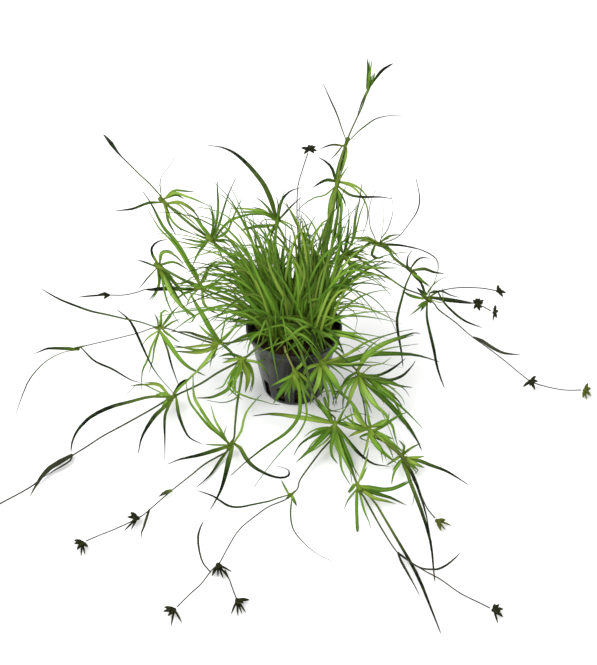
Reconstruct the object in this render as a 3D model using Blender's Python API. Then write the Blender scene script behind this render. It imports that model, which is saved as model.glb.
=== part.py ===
"""Creeping rush in a small net pot: pot, soil, runner stems, leaf whorls and flower heads. +Z is up.

The plant sprawls in every direction, so each stem and leaf is given by the points that a photograph shows
and by its height above the ground; seen_at turns the two into a place. Lengths are in millimetres until a
mesh is made. The origin is the centre of the pot's underside.
"""

import math
from dataclasses import dataclass, field

import bpy
import numpy as np

for old in list(bpy.data.objects):
    bpy.data.objects.remove(old)

MM = 0.001

# Pot
POT_HEIGHT = 45.4
LIP_RADIUS = 27.5
LIP_DEPTH = 3.0
TOP_RADIUS = 25.6
FOOT_RADIUS = 18.0
POT_WALL = 1.1
FLOOR_THICKNESS = 1.6
POT_SIDES = 24
SLOT_COUNT = 12
SLOT_WIDTH = 4.4
SLOT_LOW = 2.6
SLOT_HIGH = 14.0

# Soil
SOIL_TOP = 42.0
SOIL_SIDES = 24

GAP = 0.3

# Plant
STEM_RADIUS = 0.85
STALK_RADIUS = 0.5
STEM_SIDES = 5
LEAF_THICKNESS = 0.55
LEAF_BEND = 1.4
LEAF_CLEAR = 4.5
STEM_BEND = 0.8
SHEATH_RADIUS = 2.3
SHEATH_BACK = 3.0
SHEATH_FRONT = 4.0
SHEATH_SIDES = 6
SHEATH_HOLD = 1.55
LEAF_SPREAD = math.radians(42)
CROWN_PAD_RADIUS = 3.4
CROWN_PAD_HEIGHT = 3.2
HEAD_RADIUS = 1.8
LOWEST = 0.45

# Room between pieces
ROOM_SAMPLE = 1.5
ROOM_CLEAR = 0.35
ROOM_STEP = 1.25
ROOM_STEPS = 12
STEM_NEAR = 6.5
STEM_HOLD = 1.35
OWN_NEAR = 5.0

# The photograph's view: where the rim's centre shows, how far away it is and how steeply it is seen
VIEW_PITCH = math.radians(39.5)
VIEW_DISTANCE = 800.0
VIEW_FOCAL = 1404.0
RIM_SEEN = (294.0, 325.5)

# Finishes: colour, roughness, metallic
FINISHES = {
    "pot_plastic": ((0.035, 0.037, 0.040), 0.45, 0.0),
    "soil": ((0.060, 0.035, 0.020), 0.95, 0.0),
    "stem": ((0.120, 0.200, 0.040), 0.55, 0.0),
    "leaf": ((0.130, 0.260, 0.040), 0.50, 0.0),
    "flower": ((0.035, 0.040, 0.012), 0.70, 0.0),
}


@dataclass
class Leaf:
    """A blade: the points it is seen at, base first, its tip's height, its rise between and its width."""

    line: list
    tip: float
    arch: float = 4.0
    width: float = 2.0
    blunt: bool = False


@dataclass
class Stem:
    """A stem: its joints and other points in order, and the radius that it starts and ends with."""

    route: list
    start: float = STEM_RADIUS
    end: float = STEM_RADIUS
    bracts: list = field(default_factory=list)
    branch_of: str = ""


@dataclass
class Head:
    """A flower head: where it is seen and how high, and where its bracts' tips are seen."""

    at: tuple
    tips: list
    stem: str
    along: bool = False


# Stem joints: pixel and height
JOINT = {
    "A": (164, 202, 82),
    "B": (211, 240, 64),
    "D": (277, 222, 84),
    "E": (201, 288, 50),
    "F": (160, 267, 58),
    "G": (219, 343, 38),
    "H": (161, 328, 36),
    "W": (80, 347, 10),
    "G2": (243, 359, 30),
    "I": (173, 397, 9),
    "J": (231, 444, 7),
    "L": (335, 425, 12),
    "K": (292, 494, 6),
    "M": (358, 486, 7),
    "P": (359, 374, 30),
    "P2": (370, 430, 13),
    "N": (403, 457, 7),
    "T": (345, 254, 68),
    "Q": (426, 298, 50),
    "S": (378, 244, 76),
    "R": (411, 271, 60),
    "V": (337, 184, 106),
    "V2": (346, 144, 124),
    "U": (368, 90, 150),
    "Y": (295, 372, 36),
    "Y2": (322, 363, 40.5),
}

# Where each stem leaves the soil, from the pot's axis
ROOT = {
    "back_left": (-9.0, 9.0),
    "back": (-3.0, 13.0),
    "left_upper": (-15.0, 5.0),
    "left": (-18.5, -4.0),
    "front_left": (-14.0, -13.0),
    "front": (3.0, -17.5),
    "front_right": (14.0, -12.5),
    "back_right": (14.0, 7.0),
    "top": (8.0, 13.5),
    "top_flower": (2.0, 16.0),
    "shoot_front": (-5.0, -19.5),
    "shoot_right": (9.5, -18.0),
}

STEMS = {
    "stem_back_left": Stem(["back_left", (258, 292, 58), (238, 264, 64), "B", (190, 224, 74), "A"]),
    "stem_back": Stem(["back", (277, 280, 62), (274, 250, 76), "D"]),
    "stem_left_upper": Stem(["left_upper", (254, 312, 52), (240, 303, 54), (221, 296, 53), "E", (180, 278, 57), "F"]),
    "stem_left": Stem(
        ["left", (259, 334, 51), (247, 339, 49), "G", (190, 336, 40), "H", (138, 333, 27), (112, 339.5, 17), "W"],
        end=STALK_RADIUS,
    ),
    "stem_front_left": Stem(
        [
            "front_left", (258, 347, 50), "G2", (219, 372, 20), (200, 384, 13), "I",
            (152, 409, 5), (127, 423, 2.6), (103, 436, 2.0), (86, 447, 2.0), (73, 455, 2.0),
            (55, 466, 1.8), (36, 483, 1.8), (20, 493, 1.8), (3, 502, 1.8), (-12, 511, 2.0),
        ],
        end=STALK_RADIUS,
        bracts=[
            Leaf([(73, 455), (60, 462), (50, 468), (43, 475), (38, 482), (34, 489), (29, 498)], 1.2, 2.5, 2.6),
            Leaf([(73, 455), (70, 461), (60, 467.5), (50, 473), (41, 479)], 1.0, 1.0, 1.2),
        ],
    ),
    "stem_front_middle": Stem(
        [
            (242, 372, 20), (240, 386, 15), (237, 405, 10), (235, 425, 8), "J",
            (219, 456, 4), (205, 464, 2.6), (190, 476, 2.0), (171, 491, 2.0), (156, 504, 2.2),
            (140, 517, 3.2), (115, 529, 2.2), (100, 535, 2.2), (86, 541, 2.6),
        ],
        end=STALK_RADIUS,
        bracts=[
            Leaf([(171, 491), (167, 492), (163, 494), (158, 497)], 2.6, 1.0, 2.4),
            Leaf([(149, 511), (146, 520), (144, 527), (141.5, 533), (141, 541)], 0.9, 0.5, 1.4),
        ],
        branch_of="G2",
    ),
    "stem_front": Stem(
        [
            "front", (301, 352, 50), (306, 368, 45), (311, 388, 31), (321, 408, 19), "L",
            (321, 451, 5), (309, 467, 3.0), (300, 480, 3.4), "K",
            (270, 506, 3.0), (258, 514, 2.0), (239, 530, 2.0), (226, 551, 2.2), (220, 562, 3.0),
            (211, 571, 2.6), (201, 584, 2.0), (190, 594, 2.0), (177, 607, 2.4),
        ],
        end=STALK_RADIUS,
        bracts=[
            Leaf([(209, 573), (203, 563), (199.5, 552), (198, 540), (199.5, 530), (204, 520)], 3.0, 4.0, 2.0),
        ],
    ),
    "stem_front_right": Stem(
        [
            (337, 433, 8), (343, 447, 4), (351, 467, 4), "M",
            (364, 497, 4), (370, 508, 2.2), (383, 531, 2.0), (397, 552, 2.4), (409, 561, 2.2), (425, 571, 2.0),
            (440, 579, 2.0), (460, 593, 2.0), (480, 603, 2.0), (490, 608, 2.6),
        ],
        end=STALK_RADIUS,
        bracts=[
            Leaf([(397, 552), (404, 557), (413, 564), (422, 568.5), (430, 569.5), (437, 569.5), (445, 566),
                  (453, 560), (461, 552)], 3.0, 8.0, 2.0),
            Leaf([(397, 552), (400, 559), (403, 565), (407, 572), (413, 583), (417, 590), (420, 597)], 1.0, 0.5, 1.2),
        ],
        branch_of="L",
    ),
    "stem_right": Stem(
        [
            "front_right", (335, 351, 51), "P", (361, 388, 26), (365, 410, 18), "P2",
            (386, 442, 8), "N", (413, 479, 4), (420, 493, 2.4), (427, 508, 2.2), (435, 518, 2.6),
        ],
        end=STALK_RADIUS,
    ),
    "stem_back_right": Stem(
        [
            "back_right", (329, 290, 62), (337, 271, 68), "T", (362, 261, 66), (382, 273, 60), (404, 288, 54), "Q",
            (439, 310, 43), (455, 322, 36), (470, 335, 30), (488, 348, 22), (505, 361, 14), (522, 375, 8),
            (532, 382, 6.0), (548, 387, 4.0), (565, 390, 2.6), (581, 390, 2.6),
        ],
        end=STALK_RADIUS,
        bracts=[
            Leaf([(472, 336), (482, 341), (490, 346.5), (497, 350.5), (505, 353.5), (522, 355)], 20, 3.0, 2.0),
        ],
    ),
    "stem_right_upper": Stem([(353, 256, 68), (361, 250, 71), "S", (393, 257, 70), "R"], branch_of="T"),
    "stem_top": Stem(
        ["top", (319, 280, 64), (322, 250, 78), (326, 228, 88), (332, 207, 97), "V", (340, 164, 115), "V2",
         (354, 124, 132), (362, 107, 141), "U"],
    ),
    "stem_top_flower": Stem(
        ["top_flower", (299, 280, 62), (298, 240, 80), (297, 210, 97), (298, 186, 110), (303, 168, 119),
         (308, 153, 126)],
        start=STALK_RADIUS,
        end=STALK_RADIUS,
    ),
    "stem_side_flowers": Stem(
        [(433, 298, 51), (452, 300, 50), (465, 302, 50), (475, 303.5, 50), (484, 307, 49), (491, 311, 48)],
        start=STALK_RADIUS,
        end=STALK_RADIUS,
        branch_of="Q",
    ),
}

# Heads at the stems' ends, or part of the way along them
HEADS = {
    "flower_left_far": Head((-15, 513, 2.4), [(-26, 512), (-24, 518), (-19, 523), (-12, 522), (-25, 507)], "stem_front_left"),
    "flower_front_left_near": Head(
        (138, 519, 3.0), [(131, 512), (127, 517), (131, 523), (124, 531), (131, 530)],
        "stem_front_middle", along=True,
    ),
    "flower_front_left_far": Head(
        (83, 543, 2.6), [(74, 540), (74, 543.5), (77, 550), (81, 557), (85, 555), (88, 547)], "stem_front_middle"),
    "flower_front_middle": Head(
        (220, 565, 3.0), [(212, 576), (218, 577), (223.5, 579), (232, 572), (230, 580)],
        "stem_front", along=True,
    ),
    "flower_front_low_left": Head(
        (174.5, 610, 2.4), [(164, 607), (163, 611.5), (168, 616), (171, 627), (182, 623)], "stem_front"),
    "flower_front_right_far": Head(
        (493, 610, 2.6), [(495, 604), (503.5, 609), (503, 617), (498, 624)], "stem_front_right"),
    "flower_right_low": Head((438, 521, 2.6), [(446, 520), (452, 526), (441, 531), (445.5, 530)], "stem_right"),
    "flower_right_near": Head(
        (531, 381.5, 6.0), [(536, 376), (538, 381.5), (535, 390), (530, 386), (523, 387)],
        "stem_back_right", along=True,
    ),
    "flower_right_far": Head(
        (584, 391, 2.6), [(588, 383), (591, 388), (591, 396), (586.5, 400), (583, 398)], "stem_back_right"),
    "flower_top": Head((309, 149.5, 127), [(301, 148), (304, 154), (316, 146.5), (317, 151), (309, 145)],
                       "stem_top_flower"),
    "flower_side_near": Head(
        (478, 304.5, 50), [(473, 300), (478, 298.5), (484, 300), (474, 309), (480, 311), (482, 308)],
        "stem_side_flowers", along=True,
    ),
    "flower_side_far": Head((493, 312, 48), [(495.5, 305), (498.5, 311), (496.5, 318), (493, 321)], "stem_side_flowers"),
}

# Heads and a bud that are one piece with their own short stalk
STALKED = {
    "bud_left": (
        Stem([(193, 289, 50), (170, 289.5, 48), (148, 289, 46), (138, 292, 45), (124, 295, 44), (108, 295, 43)],
             start=STALK_RADIUS, end=STALK_RADIUS, branch_of="E"),
        Head((113, 296, 43.5), [(98, 294.5), (76, 297.5), (104, 299)], ""),
    ),
    "flower_side_back": (
        Stem([(431, 293, 53), (455, 288, 55), (480, 288, 54), (498, 291, 52)],
             start=STALK_RADIUS, end=STALK_RADIUS, branch_of="Q"),
        Head((499, 291.5, 52), [(498, 285), (501.5, 289), (506, 293), (503, 297)], ""),
    ),
    "flower_front_low_right": (
        Stem([(225, 570, 2.2), (229.5, 580, 1.8), (233, 590, 1.8), (237, 600, 2.2)],
             start=STALK_RADIUS, end=STALK_RADIUS, branch_of="flower_front_middle"),
        Head((238.5, 604, 2.4), [(250, 600), (246, 613), (242, 614), (238, 617), (231, 615)], ""),
    ),
}

# Leaves of each whorl, and the stem that carries it
WHORLS = {
    "leaves_back_left_tip": ("stem_back_left", "A", [
        Leaf([(161, 195), (150, 184), (140, 175), (129, 164), (119, 154), (110, 142), (103, 134)], 104, 8, 2.2),
        Leaf([(161, 196), (160, 180), (169, 166), (180, 150)], 120, 5, 1.0),
        Leaf([(167, 197), (175, 193), (185, 196), (196, 200), (211, 207)], 78, 8, 1.5),
        Leaf([(158, 202), (149, 203), (140, 206), (132, 209), (114, 211)], 74, 6, 1.5),
        Leaf([(169, 201), (178, 202), (188, 207), (196, 214), (203, 226)], 74, 7, 1.5),
        Leaf([(165, 208), (168, 220), (173, 230), (177, 237)], 62, 0, 1.6),
    ]),
    "leaves_back_left": ("stem_back_left", "B", [
        Leaf([(212, 234), (214, 224), (213, 212), (208, 202)], 92, 2, 2.0),
        Leaf([(214, 234), (217, 222), (218.5, 205), (217.5, 190), (217, 178)], 108, 2, 2.0),
        Leaf([(216, 234), (220, 222), (225, 205), (229, 193), (233, 184), (237, 176)], 110, 4, 1.6),
        Leaf([(217, 236), (222, 229), (230, 221), (238, 217.5), (250, 214.5), (270, 215)], 78, 10, 1.8),
        Leaf([(217, 238), (227, 232), (232, 220), (237, 208), (241, 199), (244, 194)], 98, 3, 1.6),
        Leaf([(206, 241), (200, 242), (190, 240), (180, 238)], 58, 3, 1.3),
        Leaf([(207, 244), (200, 251), (196, 258), (192, 268)], 50, 2, 1.8),
        Leaf([(209, 235), (203, 228), (196, 219), (186, 212)], 76, 2, 2.0),
    ]),
    "leaves_back": ("stem_back", "D", [
        Leaf([(275, 214), (271, 200), (264, 185), (255, 173), (245, 162), (234, 153), (222, 147.5), (206, 145)],
             112, 22, 2.4),
        Leaf([(273, 217), (263, 212), (250, 209.5), (237, 208.5), (227, 209)], 80, 7, 1.5),
        Leaf([(275, 216), (268, 208), (261, 201), (255, 196.5)], 98, 3, 1.5),
        Leaf([(273, 227), (265, 226), (257, 226), (248, 228), (240, 230)], 70, 4, 1.6),
        Leaf([(271, 221), (264, 220), (258, 230), (257, 241)], 60, 6, 1.4),
        Leaf([(279, 214), (281, 203), (286, 195), (293, 190), (304, 187)], 104, 6, 1.8),
        Leaf([(281, 217), (289, 209), (297, 201), (303, 196)], 102, 2, 1.6),
    ]),
    "leaves_left_upper": ("stem_left_upper", "E", [
        Leaf([(198, 284), (190, 266), (184, 254), (175, 240), (163, 226), (152, 205), (142, 190)], 88, 6, 2.4),
        Leaf([(207, 288), (216, 288), (225, 289), (233, 293), (239, 299)], 46, 3, 1.6),
        Leaf([(203, 283), (206, 277), (209, 268)], 62, 1, 1.8),
        Leaf([(197, 284), (188, 282), (180, 284), (170, 283)], 50, 3, 2.0),
        Leaf([(201, 294), (204, 304), (212, 311), (219, 314)], 34, 3, 1.6),
        Leaf([(196, 290), (186, 293), (178, 298), (172, 306)], 36, 2, 1.8),
    ]),
    "leaves_left_upper_tip": ("stem_left_upper", "F", [
        Leaf([(157, 261), (152, 254), (152, 247), (158, 241.5), (169, 239)], 78, 4, 1.6),
        Leaf([(155, 266), (150, 263), (143, 261.5), (136, 260)], 60, 2, 1.2),
        Leaf([(164, 264), (170, 262), (177, 263), (190, 271)], 58, 5, 1.6),
        Leaf([(161, 259), (162, 253), (169, 252), (177, 257), (185, 266)], 60, 8, 1.6),
        Leaf([(162, 272), (170, 290), (178, 302), (188, 312), (195, 317), (192, 322), (182, 323)], 26, 2, 2.6),
        Leaf([(157, 271), (148, 278), (143, 284), (137, 291)], 40, 1, 1.4),
        Leaf([(160, 273), (160, 283), (156, 294), (150, 302)], 34, 1, 1.6),
    ]),
    "leaves_left": ("stem_left", "H", [
        Leaf([(158, 323), (157, 319), (154, 313)], 48, 1, 1.6),
        Leaf([(156, 325), (140, 322), (125, 319), (106, 314.5), (90, 311), (68, 303), (55, 297), (40, 288)],
             48, 9, 1.7),
        Leaf([(165, 322), (172, 313), (181, 304)], 54, 2, 1.6),
        Leaf([(161, 320), (161, 313), (165, 310), (171, 314)], 46, 4, 1.6),
        Leaf([(163, 334), (170, 345), (180, 359), (190, 368), (206, 376)], 12, 3, 2.4),
        Leaf([(159, 334), (152, 347), (149.5, 356), (146, 364), (142.5, 372), (141, 393)], 2, 3, 1.8),
        Leaf([(164, 336), (168, 350), (171, 363), (176, 378), (180, 388)], 8, 2, 1.5),
        Leaf([(167, 326), (173, 322), (181, 319)], 40, 2, 1.6),
    ]),
    "leaves_left_near": ("stem_left", "G", [
        Leaf([(217, 338), (210, 327), (203, 315), (196, 304), (189, 291)], 60, 4, 3.0),
        Leaf([(213, 341), (205, 338), (197, 335.5), (188, 332.5), (170, 331.5)], 28, 8, 1.8),
        Leaf([(212, 345), (200, 346), (185, 347.5), (172, 347)], 30, 3, 1.5),
        Leaf([(213, 349), (205, 351), (195, 352.5), (173, 351)], 22, 2, 1.8),
        Leaf([(222, 337), (223.5, 328), (226, 318), (228, 311)], 58, 1, 1.2),
        Leaf([(225, 338), (232, 331), (237, 323), (241, 311)], 58, 1, 2.2),
        Leaf([(216, 350), (208, 359), (200, 368), (191, 378)], 14, 4, 2.0),
    ]),
    "leaves_left_tip": ("stem_left", "W", [
        Leaf([(76, 348), (70, 349), (60, 348.5), (48, 348.5), (40, 351.5), (32, 354.5)], 5, 3, 1.9),
        Leaf([(76, 350), (63, 352.5), (48, 360), (36, 371), (27, 384), (20, 402), (15, 417)], 1, 5, 1.4),
        Leaf([(82, 351), (92, 359), (100, 364), (110, 368), (119, 373), (130, 379.5), (141, 383)], 2, 3, 2.2),
    ]),
    "leaves_front_left": ("stem_front_left", "G2", [
        Leaf([(238, 355), (232, 354.5), (225, 355), (218, 357)], 26, 2, 2.0),
        Leaf([(238, 360), (230, 361), (222, 363)], 22, 2, 2.0),
        Leaf([(238, 363), (234, 373), (230.5, 382), (228, 389), (220, 394), (210, 397.5), (195, 398)], 5, 3, 2.0),
        Leaf([(246, 366), (248, 375), (247, 385), (245, 393)], 10, 1, 3.2),
        Leaf([(249, 365), (252.5, 374), (253, 383), (251, 393)], 10, 1, 1.8),
        Leaf([(250, 361), (258, 363), (266, 371), (270, 381)], 16, 4, 1.5),
        Leaf([(240, 367), (236, 377), (235, 387), (236, 396)], 8, 1, 2.0),
    ]),
    "leaves_left_low": ("stem_front_left", "I", [
        Leaf([(171, 391), (163, 381), (156, 372), (150, 362), (143, 347), (131, 322), (116, 308.5)], 46, 8, 2.8),
        Leaf([(168, 395), (150, 397), (130, 402), (110, 407.5), (91, 417), (78, 430), (72, 443), (71, 454)],
             4.5, 12, 2.8),
        Leaf([(168, 402), (157, 414), (150, 423), (145, 431), (141, 440), (138, 455)], 1, 4, 2.4),
        Leaf([(170, 404), (165, 417), (165, 440), (165, 464)], 1, 3, 1.6),
        Leaf([(177, 402), (179, 415), (184, 429), (190, 438), (203, 444.5)], 1, 5, 1.8),
        Leaf([(168, 391), (160, 386), (150, 384.5), (140, 385), (129, 386)], 4, 5, 1.6),
        Leaf([(174, 390), (181, 383), (190, 378)], 16, 3, 1.8),
    ]),
    "leaves_front_middle": ("stem_front_middle", "J", [
        Leaf([(226, 447), (215, 451), (205, 454), (195, 456.5), (180, 459.5), (166, 465)], 1, 5, 2.6),
        Leaf([(228, 450), (220, 461), (212, 473), (203, 482), (194, 489)], 1, 4, 1.5),
        Leaf([(232, 450), (229, 460), (226, 473), (222, 487), (217, 498), (209, 512)], 1, 6, 2.6),
        Leaf([(236, 444), (241, 449), (247, 460), (255, 468), (268, 475), (280, 478), (288, 476), (288, 470),
              (276, 465.5)], 1.5, 7, 2.0),
        Leaf([(227, 440), (218, 432), (210, 424), (201, 410), (194, 396), (193, 374)], 22, 8, 2.0),
        Leaf([(226, 441), (224, 434), (227, 425)], 18, 2, 1.2),
        Leaf([(225, 444), (213, 445), (203, 444)], 4, 3, 1.2),
    ]),
    "leaves_front_low": ("stem_front", "K", [
        Leaf([(287, 494), (278, 498), (268, 501.5), (255, 504), (240, 507), (228, 505.5), (213, 496), (196, 490)],
             1, 6, 2.0),
        Leaf([(292, 500), (290.5, 515), (294, 531), (308, 547), (320, 555.5), (334, 562)], 1, 5, 1.6),
        Leaf([(295, 497), (297, 506)], 3, 0, 1.6),
        Leaf([(288, 491), (284, 486), (281, 479)], 10, 1, 1.4),
    ]),
    "leaves_front": ("stem_front", "L", [
        Leaf([(330, 429), (320, 433), (308, 438.5), (299, 446), (293, 457)], 1.5, 5, 1.6),
        Leaf([(329, 431), (318, 443), (308, 452), (295, 463.5)], 1.5, 5, 3.0),
        Leaf([(333, 433), (336, 445), (340, 455), (342, 470), (351, 486)], 1.5, 3, 1.8),
        Leaf([(339, 432), (345, 448), (351, 463), (360, 478)], 3, 3, 2.0),
        Leaf([(341, 430), (348, 441), (355, 449), (363, 457), (374, 464), (390, 466.5)], 1.5, 5, 1.9),
        Leaf([(330, 421), (310, 419), (296, 417), (283, 415), (270, 414), (252, 416)], 6, 6, 2.4),
        Leaf([(339, 419), (343, 412), (348, 405)], 24, 2, 1.6),
        Leaf([(341, 423), (350, 424.5), (361, 426)], 12, 3, 1.8),
        Leaf([(332, 418), (325, 409), (318, 399)], 24, 3, 1.8),
        Leaf([(334, 433), (331, 447), (332, 456), (338, 464)], 1.5, 2, 2.6),
    ]),
    "leaves_front_right": ("stem_front_right", "M", [
        Leaf([(357, 492), (356.5, 505), (357, 520), (357.5, 532)], 1, 2, 2.8, True),
        Leaf([(354, 487), (347, 492.5)], 3, 1, 1.4),
        Leaf([(363, 486), (372, 488.5), (382, 490), (392, 489), (403, 485), (414, 479)], 12, 4, 2.6),
        Leaf([(363, 490), (376, 493.5), (390, 497.5), (407, 505.5)], 1.2, 5, 2.0),
        Leaf([(362, 491), (374, 498), (386, 501), (396, 504)], 1, 2, 2.0),
        Leaf([(366, 491), (377, 502), (392, 522), (406, 541), (418, 558), (428, 578), (437, 600), (449, 631)],
             1, 2.5, 2.0),
        Leaf([(359, 480), (365, 465), (369, 447)], 14, 3, 1.2),
    ]),
    "leaves_right_low": ("stem_right", "N", [
        Leaf([(405, 464), (410, 482), (417, 500), (425, 522), (431, 545), (433, 565), (435, 583)], 1, 5, 2.8),
        Leaf([(408, 457), (417, 457.5), (425, 456)], 5, 2, 1.8),
        Leaf([(405, 452), (411, 448), (421, 443)], 14, 3, 1.6),
        Leaf([(408, 459), (420, 461), (430, 465), (445, 470.5), (458, 478), (470, 486)], 1, 6, 1.8),
        Leaf([(402, 451), (404, 446), (399, 440)], 18, 2, 1.5),
        Leaf([(408, 461), (416, 464), (425, 468)], 2, 2, 2.4),
        Leaf([(398, 459), (393, 461), (386, 465)], 3, 1, 1.3),
        Leaf([(403, 463), (406, 471), (410, 480)], 2, 1, 1.8),
    ]),
    "leaves_right": ("stem_right", "P", [
        Leaf([(359, 368), (366, 356), (376, 348), (388, 342), (401, 337.5), (414, 333), (421, 334)], 36, 10, 2.6),
        Leaf([(364, 372), (376, 376), (385, 373), (395, 367), (406, 358)], 34, 5, 1.7),
        Leaf([(365, 374), (377, 378), (390, 378.5), (402, 374), (411, 365), (415, 359)], 32, 6, 1.8),
        Leaf([(364, 377), (380, 381), (390, 383), (400, 386), (413, 387.5)], 16, 5, 1.9),
        Leaf([(364, 378), (374, 382), (388, 392), (399, 402), (404, 411)], 10, 6, 2.4),
        Leaf([(362, 380), (368, 386), (380, 396), (392, 407), (404, 421), (416, 438), (422, 451)], 2, 7, 3.0),
        Leaf([(361, 381), (365, 391), (373, 403), (386, 415), (387, 422), (377, 427)], 10, 5, 2.4),
        Leaf([(355, 379), (352, 391), (349, 401), (344, 411)], 12, 4, 2.6),
        Leaf([(353, 375), (346, 380), (341, 388)], 22, 2, 2.0),
    ]),
    "leaves_right_middle": ("stem_right", "P2", [
        Leaf([(365, 427), (357, 427), (349, 424), (341, 419)], 16, 3, 2.0),
        Leaf([(373, 426), (382, 424), (388, 418), (389, 412)], 22, 3, 1.7),
        Leaf([(375, 428), (382, 427), (392, 420), (402, 414), (409, 412)], 20, 5, 1.8),
        Leaf([(375, 433), (385, 436), (394, 439)], 9, 2, 1.8),
        Leaf([(365, 426), (357, 417), (352, 406)], 22, 3, 2.4),
        Leaf([(364, 431), (356, 433), (348, 437)], 7, 3, 2.0),
        Leaf([(371, 437), (376, 445), (386, 455), (398, 464)], 2, 3, 2.6),
    ]),
    "leaves_far_right": ("stem_back_right", "Q", [
        Leaf([(429, 292), (435, 280), (438, 268), (436, 259), (426, 252), (412, 247), (400, 245), (390, 245)],
             84, 10, 2.0),
        Leaf([(425, 304), (427, 318), (431, 337), (434, 350), (437, 366), (441, 379), (445, 389)], 6, 8, 2.8),
        Leaf([(430, 293), (437, 291), (443, 301), (452, 311), (465, 321), (483, 328)], 34, 7, 2.2),
        Leaf([(431, 295), (440, 291), (450, 295), (461, 298)], 52, 2, 1.2),
        Leaf([(423, 293), (421, 283), (414, 276)], 62, 1, 1.6),
        Leaf([(421, 300), (411, 296), (401, 290)], 48, 2, 1.8),
    ]),
    "leaves_right_upper_tip": ("stem_right_upper", "R", [
        Leaf([(408, 276), (406, 285), (402, 300), (398, 318), (399, 333), (402, 350), (404, 368)], 8, 6, 2.6),
        Leaf([(416, 269), (425, 269), (433, 272), (446, 274)], 58, 3, 1.7),
        Leaf([(414, 276), (422, 281), (431, 288)], 54, 2, 1.6),
        Leaf([(413, 266), (417, 260), (423, 257.5), (432, 259)], 72, 3, 1.3),
        Leaf([(407, 266), (408, 256), (414, 248)], 80, 2, 1.5),
    ]),
    "leaves_right_upper": ("stem_right_upper", "S", [
        Leaf([(381, 239), (387, 231), (392, 217), (393, 205), (390, 190)], 118, 5, 1.7),
        Leaf([(373, 241), (365, 239.5), (357, 240), (344, 238)], 78, 4, 1.7),
        Leaf([(381, 241), (390, 236), (402, 234.5)], 84, 2, 1.4),
        Leaf([(384, 245), (394, 245), (404, 246), (421, 250)], 72, 4, 1.5),
        Leaf([(375, 239), (370, 227), (369, 210), (373, 195), (380, 186)], 120, 4, 1.5),
        Leaf([(383, 243), (397, 237), (408, 223), (416, 210), (418, 196), (414, 176)], 122, 6, 1.4),
        Leaf([(375, 249), (372, 255), (378, 258), (384, 257)], 68, 1, 1.6),
    ]),
    "leaves_back_right": ("stem_back_right", "T", [
        Leaf([(348, 249), (353, 238), (356, 215), (359.5, 200), (361, 190), (362, 181)], 114, 3, 1.6),
        Leaf([(350, 252), (357, 248), (368, 246)], 76, 3, 1.8),
        Leaf([(348, 261), (351, 268), (346, 277), (341, 285)], 50, 4, 2.2),
        Leaf([(343, 261), (338, 270), (330, 283), (322, 294)], 50, 3, 1.8),
        Leaf([(350, 262), (363, 267), (378, 268), (399, 268)], 58, 4, 1.6),
        Leaf([(349, 263), (362, 271), (375, 274), (387, 283)], 50, 3, 1.6),
        Leaf([(341, 249), (338, 238), (340, 222), (341, 206), (338, 192)], 100, 2, 1.8),
    ]),
    "leaves_top": ("stem_top", "V", [
        Leaf([(333, 181), (327, 180), (320, 183), (311, 189)], 104, 5, 1.8),
        Leaf([(341, 182), (351, 186), (360, 194), (367, 207), (367, 221), (361, 238)], 80, 10, 2.0),
        Leaf([(335, 178), (332, 169), (326, 162), (316, 156)], 122, 3, 1.8),
        Leaf([(342, 186), (350, 195), (362, 197), (380, 197), (393, 199)], 100, 7, 1.5),
        Leaf([(331, 187), (325, 195), (314, 198), (303, 205), (295, 214)], 88, 7, 1.6),
    ]),
    "leaves_top_middle": ("stem_top", "V2", [
        Leaf([(350, 140), (358, 132), (365, 126.5), (375, 119.5), (388, 116), (405, 115.5)], 138, 6, 2.1),
        Leaf([(344, 137), (341, 126), (337, 114), (331, 101), (322, 81)], 162, 3, 1.5),
        Leaf([(340, 143), (333, 145), (325, 147), (318, 150)], 122, 3, 1.6),
        Leaf([(341, 148), (336, 154), (329, 161)], 114, 2, 1.6),
    ]),
    "leaves_top_tip": ("stem_top", "U", [
        Leaf([(367.5, 83), (368, 70), (367, 57)], 172, 1, 2.4),
        Leaf([(371, 85), (377, 77), (384, 69), (394, 63)], 168, 2, 2.4),
        Leaf([(369, 83), (371, 78), (374, 73)], 162, 1, 1.6),
    ]),
}

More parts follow.
